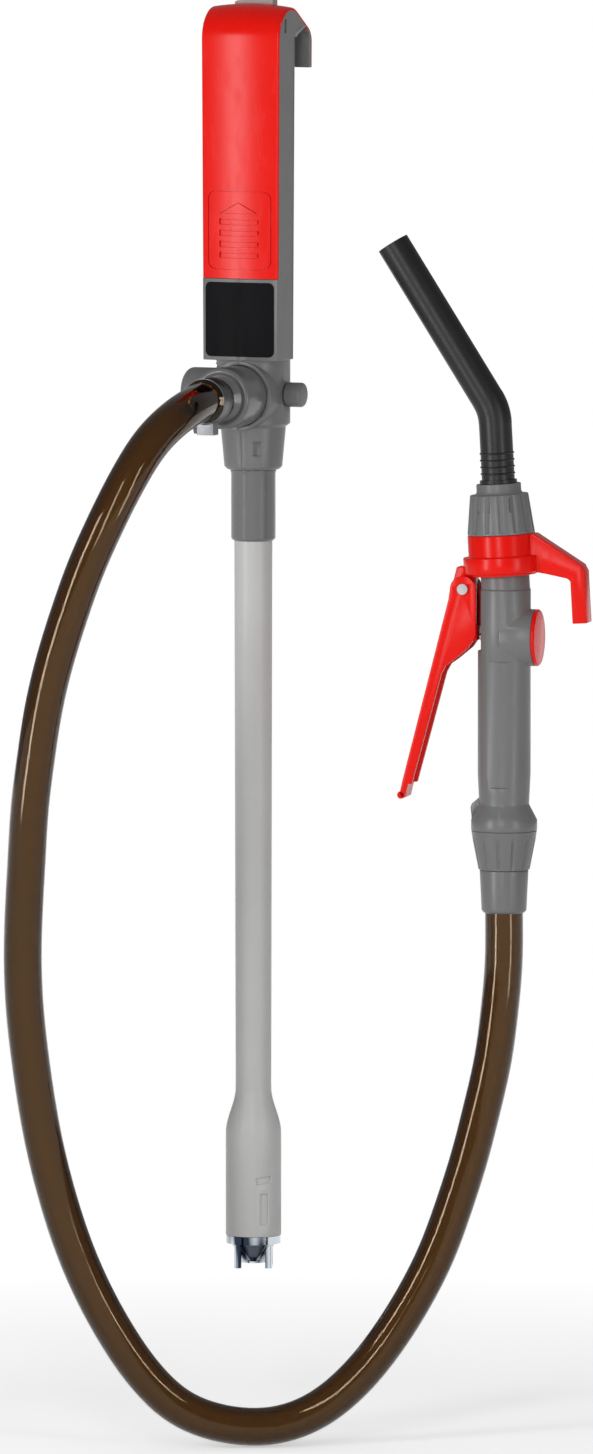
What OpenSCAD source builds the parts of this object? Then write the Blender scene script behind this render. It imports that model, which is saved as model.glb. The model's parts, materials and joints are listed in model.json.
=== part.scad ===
// Battery fuel transfer pump with hose and hand nozzle.
// Origin on the pipe's axis, at the lower rim of the foot barrel. +Z up, the front faces -Y.

/* [Foot] */
// Outer radius of the foot barrel
foot_r = 19; // [18.5:0.1:20]
// Wall of the foot barrel
foot_wall = 2; // [1.6:0.1:2.2]
// Height of the straight barrel
foot_h = 70; // [66:1:76]
// Height of the flare between barrel and pipe
flare_h = 32; // [28:1:40]
// Height of the strainer below the barrel
strainer_h = 19; // [16:1:24]
// Length of the strainer's legs below its cone
leg_h = 3; // [2:0.5:6]
// Radius of the motor can
motor_r = 13.8; // [12:0.1:14]
// Length of the motor can
motor_l = 36; // [30:1:40]
// Radius of the motor shaft
shaft_r = 1.15; // [1:0.05:1.6]
// Radius of the impeller
impeller_r = 12.5; // [9:0.5:15]
// Number of impeller vanes
vane_n = 6; // [4:1:8]

/* [Pipe] */
// Outer radius of the pipe at its top
pipe_top_r = 13; // [12.6:0.1:13.2]
// Outer radius of the pipe above the foot
pipe_low_r = 12.2; // [11.8:0.1:12.6]
// Bore radius of the pipe
pipe_bore_r = 10; // [9.4:0.1:10.2]
// Height of the lower end of the collar
collar_z = 477.5; // [440:1:500]
// Outer radius of the collar
collar_r = 15.2; // [14.8:0.1:15.6]

/* [Head] */
// Height of the lower end of the neck above the collar's lower end
collar_l = 49; // [40:1:60]
// Height of the neck's tapered part
taper_h = 28; // [24:1:34]
// Radius of the taper at its lower end
taper_low_r = 19.8; // [19:0.1:21]
// Radius of the taper at its upper end
taper_top_r = 22.2; // [21:0.1:23.5]
// Outer radius of the neck
neck_r = 25.3; // [24.6:0.1:26]
// Height of the neck's straight part
neck_h = 47.5; // [46:0.5:52]
// Wall of the grey case
case_wall = 2.4; // [2:0.1:2.8]
// Half width of the case at its bottom
case_low_w = 27.4; // [26.6:0.1:28]
// Half width of the case at its top
case_top_w = 28.7; // [28:0.1:30]
// Distance of the case's front edges in front of the pipe's axis
case_front = 22.8; // [22:0.1:24]
// How far the front bulges at its middle
front_crown = 2.5; // [2:0.1:3.5]
// Distance of the case's back behind the pipe's axis
case_back = 10; // [8:0.5:12]
// Height of the case, top to bottom
case_h = 242.5; // [236:0.5:250]
// Height of the plain grey front under the red cover
plate_zone_h = 56; // [54:1:60]
// Thickness of the red cover
cover_t = 2.2; // [1.8:0.1:2.6]
// Radius of the front edge of the dome
dome_r = 24; // [22:0.5:25]
// Radius of the sideways arch of the dome
arch_r = 130; // [110:5:180]
// Radius of the dome's side shoulders
shoulder_r = 9; // [7:0.5:11]
// Distance of the hook's outer face behind the pipe's axis
hook_reach = 36.4; // [35:0.2:40]
// Outer radius of the hook's bend
hook_r = 14; // [12:0.5:15]
// Depth of the hook's gap below the dome's top
hook_tip_drop = 44.5; // [40:0.5:60]
// Thickness of the hook with its red cover
hook_t = 6.4; // [5.8:0.1:8]
// Half length of the switch slider
slider_w = 14; // [12:0.5:15]
// Travel of the switch slider
slider_travel = 5; // [3:0.5:6]

/* [Outlet] */
// Height of the outlet's axis above the bottom of the neck's straight part
outlet_rise = 23.5; // [23:0.1:25]
// Radius of the outlet boss
outlet_r = 21; // [19.5:0.1:21.2]
// Distance of the outlet's front face from the pipe's axis
outlet_reach = 66; // [60:0.5:72]
// Radius of the valve barrel's bore
barrel_r = 9; // [8:0.1:9.4]
// Radius of the flow knob
knob_r = 17; // [15:0.1:18]
// Distance of the flow knob's outer face from the pipe's axis
knob_reach = 48.6; // [44:0.2:52]
// Radius of the spindle cap
spindle_cap_r = 8.4; // [7:0.1:10]
// Distance of the spindle cap's outer face from the pipe's axis
spindle_reach = 37.5; // [34:0.5:42]

/* [Hose] */
// Outer radius of the hose
hose_r = 13; // [12:0.1:13.2]
// Bore radius of the hose ends over their barbs
hose_bore_r = 10.5; // [10:0.1:10.8]
// Outer radius of the hose end that the clamp holds
cuff_r = 14.9; // [14.4:0.1:15.4]
// Distance of the free hose's start in front of the pipe's axis
hose_start = 88; // [84:0.5:94]
// Width of the clamp band
band_w = 14; // [10:0.5:14]
// Thickness of the clamp band
band_t = 1.3; // [0.8:0.1:1.6]

/* [Nozzle] */
// Distance of the nozzle's axis from the pipe's axis
nozzle_x = 185.5; // [180:0.5:190]
// Height of the nozzle's hose end
nozzle_z = 229; // [225:1:235]
// Turn of the nozzle about its axis
nozzle_yaw = 10; // [0:1:20]
// Lean of the nozzle's top towards its lever
spout_lean = 3.2; // [0:0.1:4]
// Length of the hose sleeve
sleeve_h = 29.3; // [27:0.1:34]
// Radius of the hose sleeve at its lower end
sleeve_low_r = 15.3; // [15:0.1:16]
// Radius of the hose sleeve at its upper end
sleeve_top_r = 16.6; // [16:0.1:17.2]
// Height of the swivel nut
swivel_h = 27; // [26:0.1:30]
// Radius of the swivel nut at its lower end
swivel_low_r = 20.1; // [19.6:0.1:21]
// Radius of the swivel nut at its upper end
swivel_top_r = 22.3; // [21.6:0.1:23]
// Radius of the nozzle's body
body_r = 18; // [17.8:0.1:18.4]
// Length of the nozzle's body above the swivel nut
body_h = 172.7; // [170:0.1:178]
// Radius of the side branch
branch_r = 19.4; // [18.8:0.1:20]
// Distance of the branch's end from the nozzle's axis
branch_reach = 22; // [21.5:0.1:24]
// Height of the branch below the upper end of the body
branch_drop = 41; // [40:0.5:44]
// Outer radius of the hook collar
hook_collar_r = 23; // [22.6:0.1:24]
// Height of the hook collar
hook_collar_h = 27.8; // [26:0.1:30]
// Inner distance of the nozzle hook's leg from the nozzle's axis
leg_x = 47.8; // [46:0.2:52]
// Thickness of the nozzle hook's leg
leg_t = 10.1; // [8:0.1:12]
// Width of the nozzle hook
leg_w = 16; // [12:0.5:18]
// Height of the spout nut
spout_nut_h = 27.2; // [26:0.1:30]
// Lower radius of the spout nut
spout_nut_low_r = 23; // [22.6:0.1:23.4]
// Upper radius of the spout nut
spout_nut_top_r = 19.8; // [19.2:0.1:20.4]
// Outer radius of the spout
spout_r = 11.3; // [11:0.1:11.6]
// Wall of the spout
spout_wall = 1.7; // [1.4:0.1:2.4]
// Height of the spout's bend above the nut's ledge
spout_rise = 57; // [50:0.5:70]
// Angle of the spout's bend
spout_angle = 29; // [20:0.5:40]
// Length of the spout beyond its bend
spout_l = 133; // [110:1:150]

/* [Lever] */
// Distance of the lever's pivot from the nozzle's axis
pivot_x = 26.7; // [26.2:0.1:27.4]
// Height of the pivot below the upper end of the body
pivot_drop = 8; // [7.5:0.1:9]
// Radius of the lever's rounded top
lever_top_r = 9; // [8.6:0.1:9.3]
// Width of the lever
lever_w = 21; // [20:0.1:21.4]
// Thickness of the lever's cheeks
cheek_t = 3.4; // [2.6:0.1:3.6]
// Radius of the lever pin
pin_r = 2.5; // [2:0.1:3]
// Radius of the pin's heads
pin_head_r = 3.65; // [3.4:0.05:4.2]
// Radius of the valve stem
stem_r = 2.5; // [2:0.1:3]

/* [Hidden] */
$fn = 64;

// Colours
GREY = "dimgray";
RED = "crimson";
PALE = "silver";
BLACK = "#181818";
STEEL = "lightsteelblue";
BROWN = "#4a3420";
RUBBER = "#202020";
BRASS = "goldenrod";

// Fits and overruns
cut = 1;
run_fit = 0.05;
slip = 0.3;
seat = 0.2;

// Heights of the pump
neck_z = collar_z + collar_l;
step_z = neck_z + taper_h;
step_h = 3.5;
straight_z = step_z + step_h / 2;
outlet_z = straight_z + outlet_rise - step_h / 2;
case_z = step_z + neck_h;
case_top = case_z + case_h;
door_z = case_z + plate_zone_h;
hook_tip = case_top - hook_tip_drop;

// Half turn about the vertical plane of symmetry
module both_sides() {
    children();
    mirror([1, 0, 0]) children();
}

// A cylinder along +X that starts at the origin
module x_rod(r, l) {
    rotate([0, 90, 0]) cylinder(r = r, h = l);
}

// A cylinder along -Y that starts at the origin
module front_rod(r, l) {
    rotate([90, 0, 0]) cylinder(r = r, h = l);
}

function arc(c, r, from, to, n) =
    [for (i = [0:n]) c + r * [cos(from + (to - from) * i / n), sin(from + (to - from) * i / n)]];

// Side outline of the case, inset by t: y and z of the front, the dome and the hook's back
dome_c = [dome_r - case_front - front_crown, case_top - dome_r];
bend_drop = 12.5;
bend_z = case_top - hook_r - bend_drop;
bend_c = [hook_reach - hook_r, bend_z];
bend_v = bend_c - dome_c;
bend_angle = acos((dome_r - hook_r) / norm(bend_v)) + atan2(bend_v[1], bend_v[0]);
function roof(t) = concat(
    arc(dome_c, dome_r - t, 180, bend_angle, 10),
    arc(bend_c, hook_r - t, bend_angle, 0, 8)
);

// Hook gap: its inner face, its rounded top and the case's back
gap_r = 6;
gap_y = hook_reach - hook_t;
gap_drop = 16.5;
gap_z = case_top - gap_drop;
gap_slope = 5;
function hook_gap() = concat(
    [[gap_y, hook_tip]],
    arc([gap_y - gap_r, gap_z - gap_r], gap_r, 0, 90, 6),
    [[case_back, gap_z - gap_slope]]
);

// Front outline of the case: x and z, tapered, with an arched top; lowered by t, widened by grow
shoulder_c = [
    case_top_w - shoulder_r,
    case_top - arch_r + sqrt(pow(arch_r - shoulder_r, 2) - pow(case_top_w - shoulder_r, 2))
];
arch_angle = atan2(shoulder_c[1] - case_top + arch_r, shoulder_c[0]);
side_slope = (case_top_w - case_low_w) / (shoulder_c[1] - case_z);
function half_outline(t, grow) = concat(
    [[case_low_w + grow, case_z]],
    arc(shoulder_c + [grow - side_slope * t, -t], shoulder_r, 0, arch_angle, 8),
    arc([0, case_top - arch_r - t], arch_r, arch_angle, 90, 5)
);
function flip(points) = [for (i = [len(points) - 2:-1:0]) [-points[i][0], points[i][1]]];

// Cylinder that crowns the front
crown_r = (pow(case_low_w, 2) + pow(front_crown, 2)) / (2 * front_crown);
module crown(t) {
    translate([0, crown_r - case_front - front_crown, case_z - cut])
        cylinder(r = crown_r - t, h = case_h + 2 * cut, $fn = 200);
}

module extrude_x(points, half) {
    rotate([90, 0, 90]) translate([0, 0, -half]) linear_extrude(2 * half) polygon(points);
}

module front_bound(t, grow) {
    translate([0, hook_reach + cut, 0]) rotate([90, 0, 0])
        linear_extrude(hook_reach + case_front + front_crown + 2 * cut)
            polygon(concat(half_outline(t, grow), flip(half_outline(t, grow))));
}

// Everything under the roof, inset by t
module under_roof(t, low, grow = 0) {
    intersection() {
        front_bound(t, grow);
        crown(t);
        extrude_x(concat(
            [[-case_front - front_crown + t, low]],
            roof(t),
            [[hook_reach - t, low]]
        ), case_top_w + cut);
    }
}

case_corner_r = 6;
side_taper = atan(side_slope);
module back_corner_cuts() {
    both_sides() translate([
        case_low_w - case_corner_r - run_fit,
        case_back - case_corner_r - run_fit,
        case_z - cut
    ])
        rotate([0, side_taper, 0]) difference() {
            cube([2 * case_corner_r, 2 * case_corner_r, gap_z - gap_slope - case_z]);
            cylinder(r = case_corner_r, h = case_h);
        }
}

cover_gap = cover_t + slip;
module case_outside() {
    difference() {
        intersection() {
            union() {
                under_roof(cover_gap, case_z);
                intersection() {
                    under_roof(0, case_z);
                    translate([-case_top_w, -hook_reach, case_z])
                        cube([2 * case_top_w, 2 * hook_reach, plate_zone_h - slip]);
                }
            }
            extrude_x(concat(
                [[-case_front - front_crown - cut, case_z]],
                [[-case_front - front_crown - cut, case_top]],
                [[hook_reach, case_top]],
                [[hook_reach, hook_tip]],
                hook_gap(),
                [[case_back, case_z]]
            ), case_top_w + cut);
        }
        back_corner_cuts();
    }
}

// Shoulder behind the case that closes the round neck
fairing_h = 34;
module fairing(r, inset) {
    difference() {
        translate([0, 0, case_z - cut]) cylinder(r = r, h = fairing_h + cut - inset);
        translate([-2 * neck_r, neck_r - inset, case_z])
            rotate([fairing_tilt, 0, 0]) cube([4 * neck_r, 2 * neck_r, 3 * fairing_h]);
    }
}
fairing_tilt = atan2(neck_r - case_back, fairing_h);

neck_round = 2;
module neck_outside() {
    translate([0, 0, neck_z]) rotate_extrude() polygon([
        [0, 0],
        [taper_low_r - neck_round, 0],
        [taper_low_r, neck_round],
        [taper_top_r, taper_h],
        [taper_top_r, taper_h + step_h / 3],
        [neck_r, taper_h + step_h],
        [neck_r, taper_h + neck_h],
        [0, taper_h + neck_h]
    ]);
    translate([0, 0, outlet_z]) front_rod(pad_r, neck_r + pad_lift);
    intersection() {
        fairing(neck_r, 0);
        translate([-neck_r, 0, case_z - cut]) cube([2 * neck_r, 2 * neck_r, 2 * fairing_h]);
    }
}
pad_lift = 0.6;
pad_grow = 2.8;
pad_r = outlet_r + pad_grow;

// Hollows of the case, cut before it is split
cavity_front = case_front - cover_gap - case_wall;
roof_room = 8;
cavity_top = case_top - dome_r + roof_room;
bay_w = 19;
bay_rise = 12;
bay_drop = 38;
bay_low = door_z + bay_rise;
bay_top = case_top - bay_drop;
module case_hollows() {
    translate([-case_low_w + case_wall, -cavity_front, case_z + case_wall])
        cube([2 * (case_low_w - case_wall), cavity_front + case_back - case_wall,
              cavity_top - case_z - case_wall]);
    translate([0, 0, step_z + step_h]) cylinder(r = neck_r - case_wall, h = neck_h);
    intersection() {
        fairing(neck_r - case_wall, case_wall);
        translate([-neck_r, 0, case_z - cut]) cube([2 * neck_r, 2 * neck_r, 2 * fairing_h]);
    }
    translate([0, 0, neck_z + case_wall]) cylinder(r = taper_low_r - case_wall, h = taper_h + step_h);
    translate([0, 0, neck_z - cut]) cylinder(r = collar_neck_r + seat, h = taper_h);
    translate([-bay_w, -case_front - front_crown, bay_low])
        cube([2 * bay_w, case_front, bay_top - bay_low]);
    translate([0, 0, outlet_z]) front_rod(outlet_r + seat, 2 * neck_r);
    translate([-2 * neck_r, 0, outlet_z]) x_rod(spindle_r + slip, 4 * neck_r);
    translate([-slider_stem / 2 - slip, slot_y - stem_d / 2 - slip, cavity_top - cut])
        cube([slider_stem + slider_travel + 2 * slip, stem_d + 2 * slip, dome_r]);
    slider_recess(slider_seat - slip);
    translate([strap_x, strap_y, strap_z]) cube([case_wall, strap_w, strap_h]);
    mirror([1, 0, 0]) translate([strap_x, strap_y, strap_z]) cube([case_wall, strap_w, strap_h]);
    latch_slot();
    rail_slots(slip);
}
spindle_r = 4.5;
module slider_recess(floor_z) {
    translate([-slider_w - slip, slot_y - slider_d / 2 - slip, floor_z])
        cube([2 * slider_w + slider_travel + 2 * slip, slider_d + 2 * slip, dome_r]);
}
strap_w = 4.5;
strap_h = 9;
strap_y = -13.5;
strap_drop = 19;
strap_sunk = 1.2;
strap_x = case_top_w - strap_sunk;
strap_z = case_top - strap_drop;

// Latch window in the taper
latch_w = 5;
latch_h = 10;
latch_turn = 30;
latch_rise = 10;
module latch_slot() {
    rotate([0, 0, latch_turn]) translate([-latch_w / 2, -neck_r, neck_z + latch_rise])
        cube([latch_w, neck_r - taper_low_r + case_wall / 2, latch_h]);
}

// Rails of the red cover and their slots in the case
rail_x = 22;
rail_w = 1.6;
rail_l = 120;
rail_d = cover_t;
module rail_slots(gap) {
    both_sides() translate([rail_x - rail_w / 2 - gap, -case_front - gap, door_z + cover_t])
        cube([rail_w + 2 * gap, cover_gap + rail_d / 2 + gap, case_top - door_z - dome_r / 2]);
}

// Screw bosses inside the case: y, z and the outer face's distance from the middle plane
boss_r = 3.4;
screw_r = 1.5;
screw_head_r = 2.8;
screw_places = [
    [boss_r - cavity_front - cut, door_z - plate_zone_h / 4, case_low_w],
    [boss_r - cavity_front - cut, cavity_top - 4 * boss_r, case_top_w - slip],
    [-neck_r / 2.5, case_z - 1.4 * boss_r, neck_r * 0.9]
];
module at_screws() {
    for (p = screw_places) translate([0, p[0], p[1]]) rotate([0, -90, 0]) translate([0, 0, p[2]])
        children();
}

module screw_bosses() {
    intersection() {
        for (p = screw_places) translate([-p[2] + cut, p[0], p[1]]) x_rod(boss_r, 2 * p[2] - 2 * cut);
        union() {
            translate([-case_low_w, -case_front, case_z])
                cube([2 * case_low_w, case_front + case_back, case_h]);
            translate([0, 0, neck_z]) cylinder(r = neck_r - cut, h = case_z - neck_z);
        }
    }
}

// Shelves that hold the battery tray, with the leads' way through
shelf_t = 2;
module shelves() {
    for (z = [tray_z - slip - shelf_t, tray_z + tray_l + slip]) difference() {
        translate([-case_low_w + cut, -cavity_front - cut, z])
            cube([2 * case_low_w - 2 * cut, cavity_front + case_back - case_wall + 2 * cut, shelf_t]);
        translate([-shelf_way_w / 2, shelf_way_y, z - cut])
            cube([shelf_way_w, case_back, shelf_t + 2 * cut]);
    }
}
shelf_way_w = 6;
shelf_way_y = 3.5;

module case_shell() {
    difference() {
        union() {
            difference() {
                union() {
                    case_outside();
                    neck_outside();
                }
                case_hollows();
            }
            screw_bosses();
            shelves();
        }
        at_screws() translate([0, 0, -case_low_w - screw_l / 2])
            cylinder(r = screw_r + run_fit, h = case_low_w + screw_l / 2 + cut);
        at_screws() translate([0, 0, -screw_sunk - screw_head_h - seat])
            cylinder(r = screw_head_r + seat, h = case_wall + screw_head_h);
    }
}
screw_l = 12;
screw_head_h = 1.6;
screw_sunk = 0.4;

module case_half(side) {
    intersection() {
        case_shell();
        translate([side < 0 ? -2 * case_top_w : 0, -2 * hook_reach, neck_z - cut])
            cube([2 * case_top_w, 4 * hook_reach, case_top - neck_z + 2 * cut]);
    }
}

module case_left() {
    color(GREY) case_half(-1);
}

module case_right() {
    color(GREY) case_half(1);
}

// The red cover: front, dome and the hook's back, in one piece
slot_y = 5;
slider_d = 8.4;
pad_w = 24;
pad_top_r = 8;
pad_rise = 6;
pad_z = door_z + pad_rise;
pad_h = 54;
pad_t = 0.5;
rib_n = 4;
rib_pitch = 7.6;
rib_h = 2.8;
rib_w = 14;
rib_t = 1.1;
arrow_h = 8;
arrow_w = 14.8;
arrow_rise = 38;
arrow_z = pad_z + arrow_rise;
arrow_t = 1.4;

module on_front(t, depth) {
    intersection() {
        difference() {
            crown(-t);
            crown(depth);
        }
        translate([0, -case_front + cut, 0]) rotate([90, 0, 0])
            linear_extrude(front_crown + 2 * cut + t) children();
    }
}

module pad_outline() {
    translate([-pad_w, pad_z]) square([2 * pad_w, pad_h - pad_top_r]);
    translate([-pad_w + pad_top_r, pad_z]) square([2 * (pad_w - pad_top_r), pad_h]);
    for (side = [-1, 1]) translate([side * (pad_w - pad_top_r), pad_z + pad_h - pad_top_r])
        circle(r = pad_top_r);
}

module thumb_pad() {
    on_front(pad_t, cover_t / 2) pad_outline();
    for (i = [0:rib_n - 1]) on_front(rib_t, cover_t / 2)
        translate([-rib_w, pad_z + rib_h * 3 + i * rib_pitch]) square([2 * rib_w, rib_h]);
    on_front(rib_t, cover_t / 2) translate([0, arrow_z]) difference() {
        polygon([[-arrow_w, 0], [arrow_w, 0], [0, arrow_h]]);
        polygon([
            [-arrow_w + 3 * arrow_t, arrow_t],
            [arrow_w - 3 * arrow_t, arrow_t],
            [0, arrow_h - 1.5 * arrow_t]
        ]);
    }
}

module battery_door() {
    color(RED) {
        difference() {
            under_roof(0, door_z);
            under_roof(cover_t, door_z - cut, slip);
            translate([-2 * case_top_w, dome_r / 2, door_z - cut])
                cube([4 * case_top_w, 2 * hook_reach, hook_tip - door_z + cut]);
            slider_recess(cavity_top);
        }
        thumb_pad();
        both_sides() translate([rail_x - rail_w / 2, -case_front - cover_t / 4, door_z + 2 * cover_t])
            cube([rail_w, cover_gap + rail_d / 2 - cover_t / 4, rail_l]);
    }
}

// Bare plate on the grey front
plate_w = 25.3;
plate_rise = 2.6;
plate_r = 4;
plate_t = 0.5;
module rating_plate() {
    color(BLACK) on_front(plate_t, -run_fit) translate([-plate_w, case_z + plate_rise]) {
        translate([plate_r, 0]) square([2 * (plate_w - plate_r), plate_zone_h - 2 * plate_rise]);
        translate([0, plate_r])
            square([2 * plate_w, plate_zone_h - 2 * plate_rise - 2 * plate_r]);
        for (x = [plate_r, 2 * plate_w - plate_r])
            for (z = [plate_r, plate_zone_h - 2 * plate_rise - plate_r])
                translate([x, z]) circle(r = plate_r);
    }
}

module case_screws() {
    color(STEEL) at_screws() {
        translate([0, 0, -screw_sunk - screw_head_h]) cylinder(r = screw_head_r, h = screw_head_h);
        translate([0, 0, -neck_r - screw_l / 4])
            cylinder(r = screw_r, h = neck_r + screw_l / 4 - screw_sunk - cut);
    }
}

// Battery holder behind the cover
cell_r = 7.1;
cell_gap = 3.5;
tray_wall = 1.6;
tray_share = 0.65;
tray_d = 2 * cell_r + tray_wall + seat;
tray_w = 2 * (2 * cell_r + tray_wall) + tray_wall;
tray_l = tray_share * (cavity_top - door_z);
cell_l = (tray_l - slip) / 2 - cell_gap - tray_wall;
tray_rise = 4;
tray_z = bay_low + tray_rise;
tray_y = -cavity_front + slip;
cell_x = cell_r + tray_wall / 2;
tray_foot_x = 9;
tray_foot_w = 5;

module battery_tray() {
    color(BLACK) {
        difference() {
            translate([-tray_w / 2, tray_y, tray_z]) cube([tray_w, tray_d, tray_l]);
            for (side = [-1, 1])
                translate([side * cell_x, tray_y + cell_r + seat, tray_z + tray_wall]) {
                cylinder(r = cell_r + seat, h = tray_l - 2 * tray_wall);
                translate([-cell_r - seat, -2 * cell_r, 0])
                    cube([2 * (cell_r + seat), 2 * cell_r, tray_l - 2 * tray_wall]);
            }
        }
        both_sides() translate([tray_foot_x, tray_y + tray_d - tray_wall / 2, tray_z])
            cube([tray_foot_w, case_back - case_wall - slip - tray_y - tray_d + tray_wall / 2, tray_l]);
    }
}

nub_r = 2.7;
nub_h = 1;
module cell() {
    cylinder(r = cell_r, h = cell_l - nub_h);
    cylinder(r = nub_r, h = cell_l);
}

module battery_cells() {
    color(BRASS) translate([0, tray_y + cell_r + seat, tray_z + tray_wall + cell_gap])
        for (row = [0, 1]) translate([0, 0, row * (cell_l + slip)]) {
            translate([-cell_x, 0, 0]) cell();
            translate([cell_x, 0, cell_l]) mirror([0, 0, 1]) cell();
        }
}

plate_thin = 0.5;
contact_r = 4;
module battery_contacts() {
    color(STEEL) for (side = [-1, 1]) for (end = [0, 1])
        translate([
            side * cell_x,
            tray_y + cell_r + seat,
            tray_z + tray_wall + end * (tray_l - 2 * tray_wall - plate_thin)
        ]) {
            cylinder(r = contact_r, h = plate_thin);
            translate([0, 0, end == 0 ? 0 : plate_thin - cell_gap + seat])
                cylinder(r = nub_r / 2, h = cell_gap - seat);
        }
}

// Slide switch on the dome
slider_stem = 6;
stem_d = 4;
slider_sunk = 5.2;
slider_seat = case_top - slider_sunk;
slider_low = 2;
slider_high = 4.4;
switch_h = 8;
switch_w = 22;
switch_d = 8.4;
module switch_slider() {
    color(PALE) translate([0, slot_y, 0]) {
        translate([0, slider_d / 2, 0]) rotate([90, 0, 0]) linear_extrude(slider_d) polygon([
            [-slider_w, slider_seat],
            [slider_w, slider_seat],
            [slider_w, case_top + slider_high],
            [-slider_w + slider_low, case_top + slider_low],
            [-slider_w, case_top + slider_low / 2]
        ]);
        translate([-slider_stem / 2, -stem_d / 2, cavity_top - switch_h / 2])
            cube([slider_stem, stem_d, slider_seat - cavity_top + switch_h / 2 + cut]);
    }
}

module switch_body() {
    color(BLACK) difference() {
        translate([
            -switch_w / 2 + slider_travel / 2,
            case_back - case_wall - slip - switch_d,
            cavity_top - switch_h - slip
        ]) cube([switch_w, switch_d, switch_h]);
        translate([
            -slider_stem / 2 - slip,
            slot_y - stem_d / 2 - slip,
            cavity_top - switch_h / 2 - slip
        ]) cube([slider_stem + slider_travel + 2 * slip, stem_d + 2 * slip, switch_h]);
    }
}

// Flow valve across the neck
barrel_l = 37.6;
module flow_knob() {
    color(GREY) translate([0, 0, outlet_z]) difference() {
        rotate([0, -90, 0]) rotate_extrude() polygon(concat(
            [[0, neck_r + seat * 3]],
            [[knob_r, neck_r + seat * 3]],
            arc([knob_r - knob_round, knob_reach - knob_round], knob_round, 0, 90, 6),
            [[0, knob_reach]]
        ));
        for (side = [0, 1]) mirror([0, 0, side]) translate([-knob_reach - cut, 0, 0]) intersection() {
            x_rod(knob_r - knob_round - cut, grip_h + cut);
            translate([0, -knob_r, grip_w / 2]) cube([grip_h + cut, 2 * knob_r, knob_r]);
        }
    }
}
knob_round = 5;
grip_w = 6;
grip_h = 2.4;

module valve_barrel() {
    color(PALE) translate([0, 0, outlet_z]) difference() {
        union() {
            translate([-barrel_l / 2, 0, 0]) x_rod(barrel_r - run_fit, barrel_l);
            translate([-neck_r - seat * 3, 0, 0]) x_rod(spindle_r, 2 * (neck_r + seat * 3));
        }
        translate([0, 0, -2 * barrel_r]) cylinder(r = way_r, h = 2 * barrel_r);
        sphere(r = way_r);
        front_rod(way_r, 2 * barrel_r);
        for (side = [-1, 1]) translate([side * seal_x - seal_r, 0, 0]) rotate([0, 90, 0])
            difference() {
                cylinder(r = barrel_r + cut, h = 2 * seal_r);
                translate([0, 0, -cut]) cylinder(r = barrel_r - 2 * seal_r, h = 2 * seal_r + 2 * cut);
            }
    }
}
way_r = 5.6;
seal_r = 0.9;
seal_x = barrel_l / 2 - 3 * seal_r;

module ring(r, tube) {
    rotate_extrude() translate([r, 0]) circle(r = tube, $fn = 24);
}

module barrel_seals() {
    color(RUBBER) translate([0, 0, outlet_z]) for (side = [-1, 1])
        translate([side * seal_x, 0, 0]) rotate([0, 90, 0])
            ring(barrel_r - seal_r - run_fit, seal_r - run_fit);
}

module spindle_cap() {
    color(GREY) translate([0, 0, outlet_z]) rotate([0, 90, 0]) rotate_extrude() polygon(concat(
        [[0, neck_r + seat * 3]],
        [[spindle_cap_r, neck_r + seat * 3]],
        arc([spindle_cap_r - cap_round, spindle_reach - cap_round], cap_round, 0, 90, 5),
        [[0, spindle_reach]]
    ));
}
cap_round = 2;

// Valve body: inlet socket, barrel bore and outlet boss
inlet_r = 15.6;
inlet_low = neck_z + case_wall + seat;
block_r = 12.5;
socket_h = 18;
pipe_top = inlet_low + socket_h;
outlet_round = 3;
way_y = -2;
thread_r = 10;
thread_l = 16;
tail_flange_r = 12.5;
tail_flange_t = 2;
conduit_r = 2.2;
conduit_bore = 1.5;
conduit_y = 7.4;
conduit_turn_rise = 8;
conduit_turn_z = pipe_top + conduit_turn_rise;
conduit_back_y = 15.2;

module valve_body() {
    color(GREY) difference() {
        union() {
            translate([0, 0, inlet_low]) cylinder(r = inlet_r, h = outlet_z - inlet_low - block_r / 2);
            translate([-barrel_l / 2, 0, outlet_z]) x_rod(block_r, barrel_l);
            translate([0, 0, outlet_z]) rotate([90, 0, 0]) rotate_extrude() polygon(concat(
                [[0, 0], [block_r, 0], [block_r, block_r], [outlet_r, neck_r - 2 * case_wall]],
                arc([outlet_r - outlet_round, outlet_reach - outlet_round], outlet_round, 0, 90, 6),
                [[tail_flange_r + outlet_round, outlet_reach - outlet_round / 2]],
                [[0, outlet_reach - outlet_round / 2]]
            ));
        }
        translate([0, 0, inlet_low - cut])
            cylinder(r = pipe_top_r + run_fit, h = pipe_top - inlet_low + cut);
        translate([0, way_y, pipe_top - cut])
            cylinder(r = way_r, h = outlet_z - pipe_top);
        translate([-barrel_l, 0, outlet_z]) x_rod(barrel_r, 2 * barrel_l);
        translate([0, 0, outlet_z]) front_rod(way_r, outlet_reach);
        translate([0, -outlet_reach + thread_l, outlet_z])
            front_rod(thread_r + run_fit, thread_l + cut);
        conduit_path(conduit_r + run_fit);
    }
}

// Barbed tail of the outlet and the hose end on it, drawn along +Z and laid to the front
module at_outlet() {
    translate([0, -outlet_reach, outlet_z]) rotate([90, 0, 0]) children();
}
barb_r = 10.3;
stem_tail_r = 9.3;
tail_bore_r = 6.6;
barb_n = 4;
cuff_l = hose_start - outlet_reach - tail_flange_t;
module barbed_stem(l) {
    barb_pitch = l / barb_n;
    cylinder(r = stem_tail_r, h = l);
    for (i = [0:barb_n - 1]) translate([0, 0, i * barb_pitch])
        cylinder(r1 = barb_r, r2 = stem_tail_r, h = barb_pitch);
}

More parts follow.
